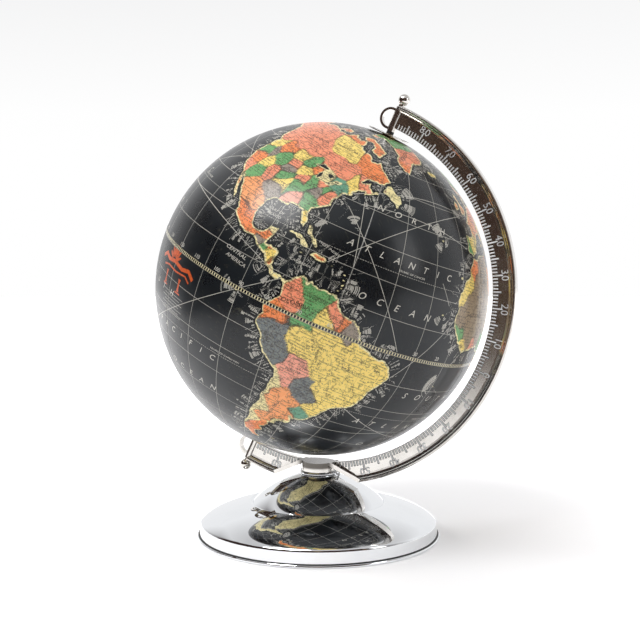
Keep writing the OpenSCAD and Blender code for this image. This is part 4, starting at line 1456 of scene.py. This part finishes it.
class GLOBE_OT_finishes(bpy.types.Operator):
    """Gives every carried piece of the frame its finish"""

    bl_idname = "globe.finishes"
    bl_label = "Finishes"

    def execute(self, context):
        _, _, _, tones = settings()
        finishes = {
            "base_chrome": (plated, tones.chrome, darker(tones.chrome, 0.9), 0.025, 0.25),
            # the arm's plating carries painted shade on the upper part of its boss
            "arm_nickel": (plated, tones.nickel, tones.aged, 0.13, 0.8, boss_stain),
            "pin_nickel": (plated, tones.nickel, tones.aged, 0.09, 0.6),
            "dial_metal": (plated, tones.nickel, tones.aged, 0.2, 1.0),
            "ferrule_brass": (plated, tones.brass, darker(tones.brass, 0.6), 0.24, 0.8),
            "plated_steel": (plated, tones.steel, darker(tones.steel, 0.7), 0.3, 0.9),
            "cast_weight": (cloth_like, tones.iron, darker(tones.iron, 0.6), 700, 0.6, 0.0004),
            "spacer_dark": (cloth_like, tones.dark, darker(tones.dark, 0.5), 900, 0.4, 0.0001),
            "globe_card": (cloth_like, tones.card, darker(tones.card, 0.7), 400, 0.8, 0.0002),
            "fibre_board": (cloth_like, tones.fibre, darker(tones.fibre, 0.6), 600, 0.8, 0.0003),
            "felt": (cloth_like, tones.felt, darker(tones.felt, 0.6), 1500, 0.9, 0.0006),
        }
        made = {name: new_material(name + "_finish", *recipe) for name, recipe in finishes.items()}
        slots = {part["node"]: part["material_slot"] for part in frame["record"]["subparts"]}
        for name, node in frame["nodes"].items():
            slot = slots.get(name, "arm_nickel")
            if slot == "map_print":
                continue
            node.data.materials.clear()
            node.data.materials.append(made[slot])
        return {"FINISHED"}


class GLOBE_OT_stage(bpy.types.Operator):
    """Lays the pale floor, hangs the soft lights and sets up the camera"""

    bl_idname = "globe.stage"
    bl_label = "Studio"

    def execute(self, context):
        studio = context.scene.globe_studio
        self.floor(studio)
        self.room(studio)
        self.surroundings(studio)
        for name, place, aim, size, light, share, mirrored in SOFTBOXES:
            self.lamp(name, place, aim, size, getattr(studio, light) * share, mirrored)
        self.camera(studio)
        context.scene.view_settings.view_transform = "Standard"
        return {"FINISHED"}

    def floor(self, studio):
        """A disc of pale paper, faintly uneven."""
        rings = 24
        sides = 96
        points = [(0, 0, 0)]
        for ring in range(1, rings + 1):
            reach = studio.floor_reach * (ring / rings) ** 2
            for side in range(sides):
                turn = math.tau * side / sides
                points.append((reach * math.cos(turn), reach * math.sin(turn), 0))
        faces = [(0, 1 + side, 1 + (side + 1) % sides) for side in range(sides)]
        for ring in range(rings - 1):
            for side in range(sides):
                a = 1 + ring * sides + side
                b = 1 + ring * sides + (side + 1) % sides
                faces.append((a, a + sides, b + sides, b))
        floor = link_mesh("paper_floor", points, faces, new_material("paper", self.paper, studio))

    def paper(self, sheet, studio):
        """Pale paper, lifted a little so that its far end meets the air."""
        where = sheet.place()
        fibre = sheet.noise(where, 260, 3, 0.6)
        shade = sheet.mix(fibre.ramp(0.3, 0.7), studio.backdrop, darker(studio.backdrop, 0.985))
        out = sheet.node("ShaderNodeVectorMath", {"operation": "LENGTH"}, {0: where}, 1)
        glow = sheet.mix(out.ramp(0.5, 2.4), darker(studio.backdrop, studio.floor_lift), studio.backdrop)
        sheet.finish(
            Base_Color=shade, Roughness=0.7 + fibre * 0.1, Emission_Color=glow, Emission_Strength=1.0
        )

    def room(self, studio):
        """A dim curved screen behind the camera, seen only in the plating and the varnish."""
        sides = 48
        rows = 8
        points = []
        for row in range(rows + 1):
            for side in range(sides + 1):
                around = math.radians(-172 + 150 * side / sides)
                reach = studio.room_reach * (1 + 0.03 * math.sin(side * 0.8))
                height = studio.room_height * row / rows
                points.append((reach * math.cos(around), reach * math.sin(around), height))
        cloth = new_material("room_cloth", self.room_cloth, studio)
        screen = link_mesh("dim_room", points, grid_faces(rows, sides), cloth)
        screen.visible_camera = False

    def room_cloth(self, sheet, studio):
        """Dim cloth with warmer streaks from top to bottom."""
        where = sheet.place()
        streak = sheet.noise(sheet.stretch(where, (3, 3, 0.4)), 1.6, 3, 0.5).ramp(0.52, 0.7)
        shade = sheet.mix(streak, studio.room, studio.room_warm)
        sheet.finish(Base_Color=shade, Roughness=0.9)

    def surroundings(self, studio):
        """Pale behind and to the sides, dim above and behind the camera."""
        world = bpy.data.worlds.new("studio_air")
        bpy.context.scene.world = world
        world.use_nodes = True
        sheet = Sheet(world.node_tree)
        where = sheet.node("ShaderNodeTexCoord", output=0)
        x = sheet.axis(where, 0)
        y = sheet.axis(where, 1)
        z = sheet.axis(where, 2)
        toward = (0 - y).ramp(-0.55, 0.1)
        dim = toward * z.ramp(-0.02, 0.02) * (1 - z.ramp(0.55, 0.75))
        lit = sheet.mix((dim * 0.93).most(z.ramp(0.5, 0.8) * 0.35), studio.backdrop, studio.room)
        plain = sheet.node("ShaderNodeLightPath", output=0)
        high = z.ramp(0.13, 0.4) + abs(x) * z.ramp(0.1, 0.3) * 0.3
        top = sheet.mix(high, (1, 1, 1), darker(studio.backdrop, 0.85))
        seen = sheet.mix(plain, lit, top)
        air = sheet.node("ShaderNodeBackground", {}, {"Color": seen, "Strength": studio.ambient})
        sheet.node_out("ShaderNodeOutputWorld", air)

    def lamp(self, name, place, aim, size, power, mirrored=True):
        """A softbox. Without mirrored it lights the scene but doesn't show in the plating."""
        lamp = bpy.data.lights.new(name, "AREA")
        lamp.shape = "RECTANGLE"
        lamp.size, lamp.size_y = size
        lamp.energy = power
        holder = bpy.data.objects.new(name, lamp)
        holder.location = place
        holder.visible_glossy = mirrored
        holder.rotation_euler = (Vector(aim) - Vector(place)).to_track_quat("-Z", "Y").to_euler()
        bpy.context.collection.objects.link(holder)

    def camera(self, studio):
        made = bpy.data.cameras.new("studio_camera")
        made.lens = studio.lens
        made.sensor_width = 36
        made.clip_start = 0.05
        made.clip_end = 50
        holder = bpy.data.objects.new("studio_camera", made)
        back = Vector(CAMERA_BACK).normalized()
        right = Vector(CAMERA_RIGHT).normalized()
        upward = back.cross(right)
        turn = Matrix((right, upward, back)).transposed().to_4x4()
        holder.matrix_world = Matrix.Translation(CAMERA_PLACE) @ turn
        bpy.context.collection.objects.link(holder)
        bpy.context.scene.camera = holder


STEPS = (
    GLOBE_OT_print,
    GLOBE_OT_band,
    GLOBE_OT_names,
    GLOBE_OT_base,
    GLOBE_OT_scale,
    GLOBE_OT_finishes,
    GLOBE_OT_stage,
)


class GLOBE_PT_panel(bpy.types.Panel):
    """Lists the steps that build the globe"""

    bl_label = "Desktop globe"
    bl_idname = "GLOBE_PT_panel"
    bl_space_type = "VIEW_3D"
    bl_region_type = "UI"
    bl_category = "Globe"

    def draw(self, context):
        for step in STEPS:
            self.layout.operator(step.bl_idname)
        for group in GROUPS:
            box = self.layout.box()
            owner = getattr(context.scene, group)
            for key in owner.bl_rna.properties.keys():
                if key not in ("rna_type", "name"):
                    box.prop(owner, key)


GROUPS = {
    "globe_map_sizes": GlobeMapSizes,
    "globe_map_colours": GlobeMapColours,
    "globe_stand_sizes": GlobeStandSizes,
    "globe_base_sizes": GlobeBaseSizes,
    "globe_stand_colours": GlobeStandColours,
    "globe_studio": GlobeStudio,
}


def register():
    for made in (*GROUPS.values(), *STEPS, GLOBE_PT_panel):
        bpy.utils.register_class(made)
    for name, group in GROUPS.items():
        setattr(bpy.types.Scene, name, PointerProperty(type=group))


def unregister():
    for name in GROUPS:
        delattr(bpy.types.Scene, name)
    for made in (GLOBE_PT_panel, *reversed(STEPS), *reversed(GROUPS.values())):
        bpy.utils.unregister_class(made)


def main():
    register()
    for step in STEPS:
        group, name = step.bl_idname.split(".")
        getattr(getattr(bpy.ops, group), name)()


if __name__ == "__main__":
    main()
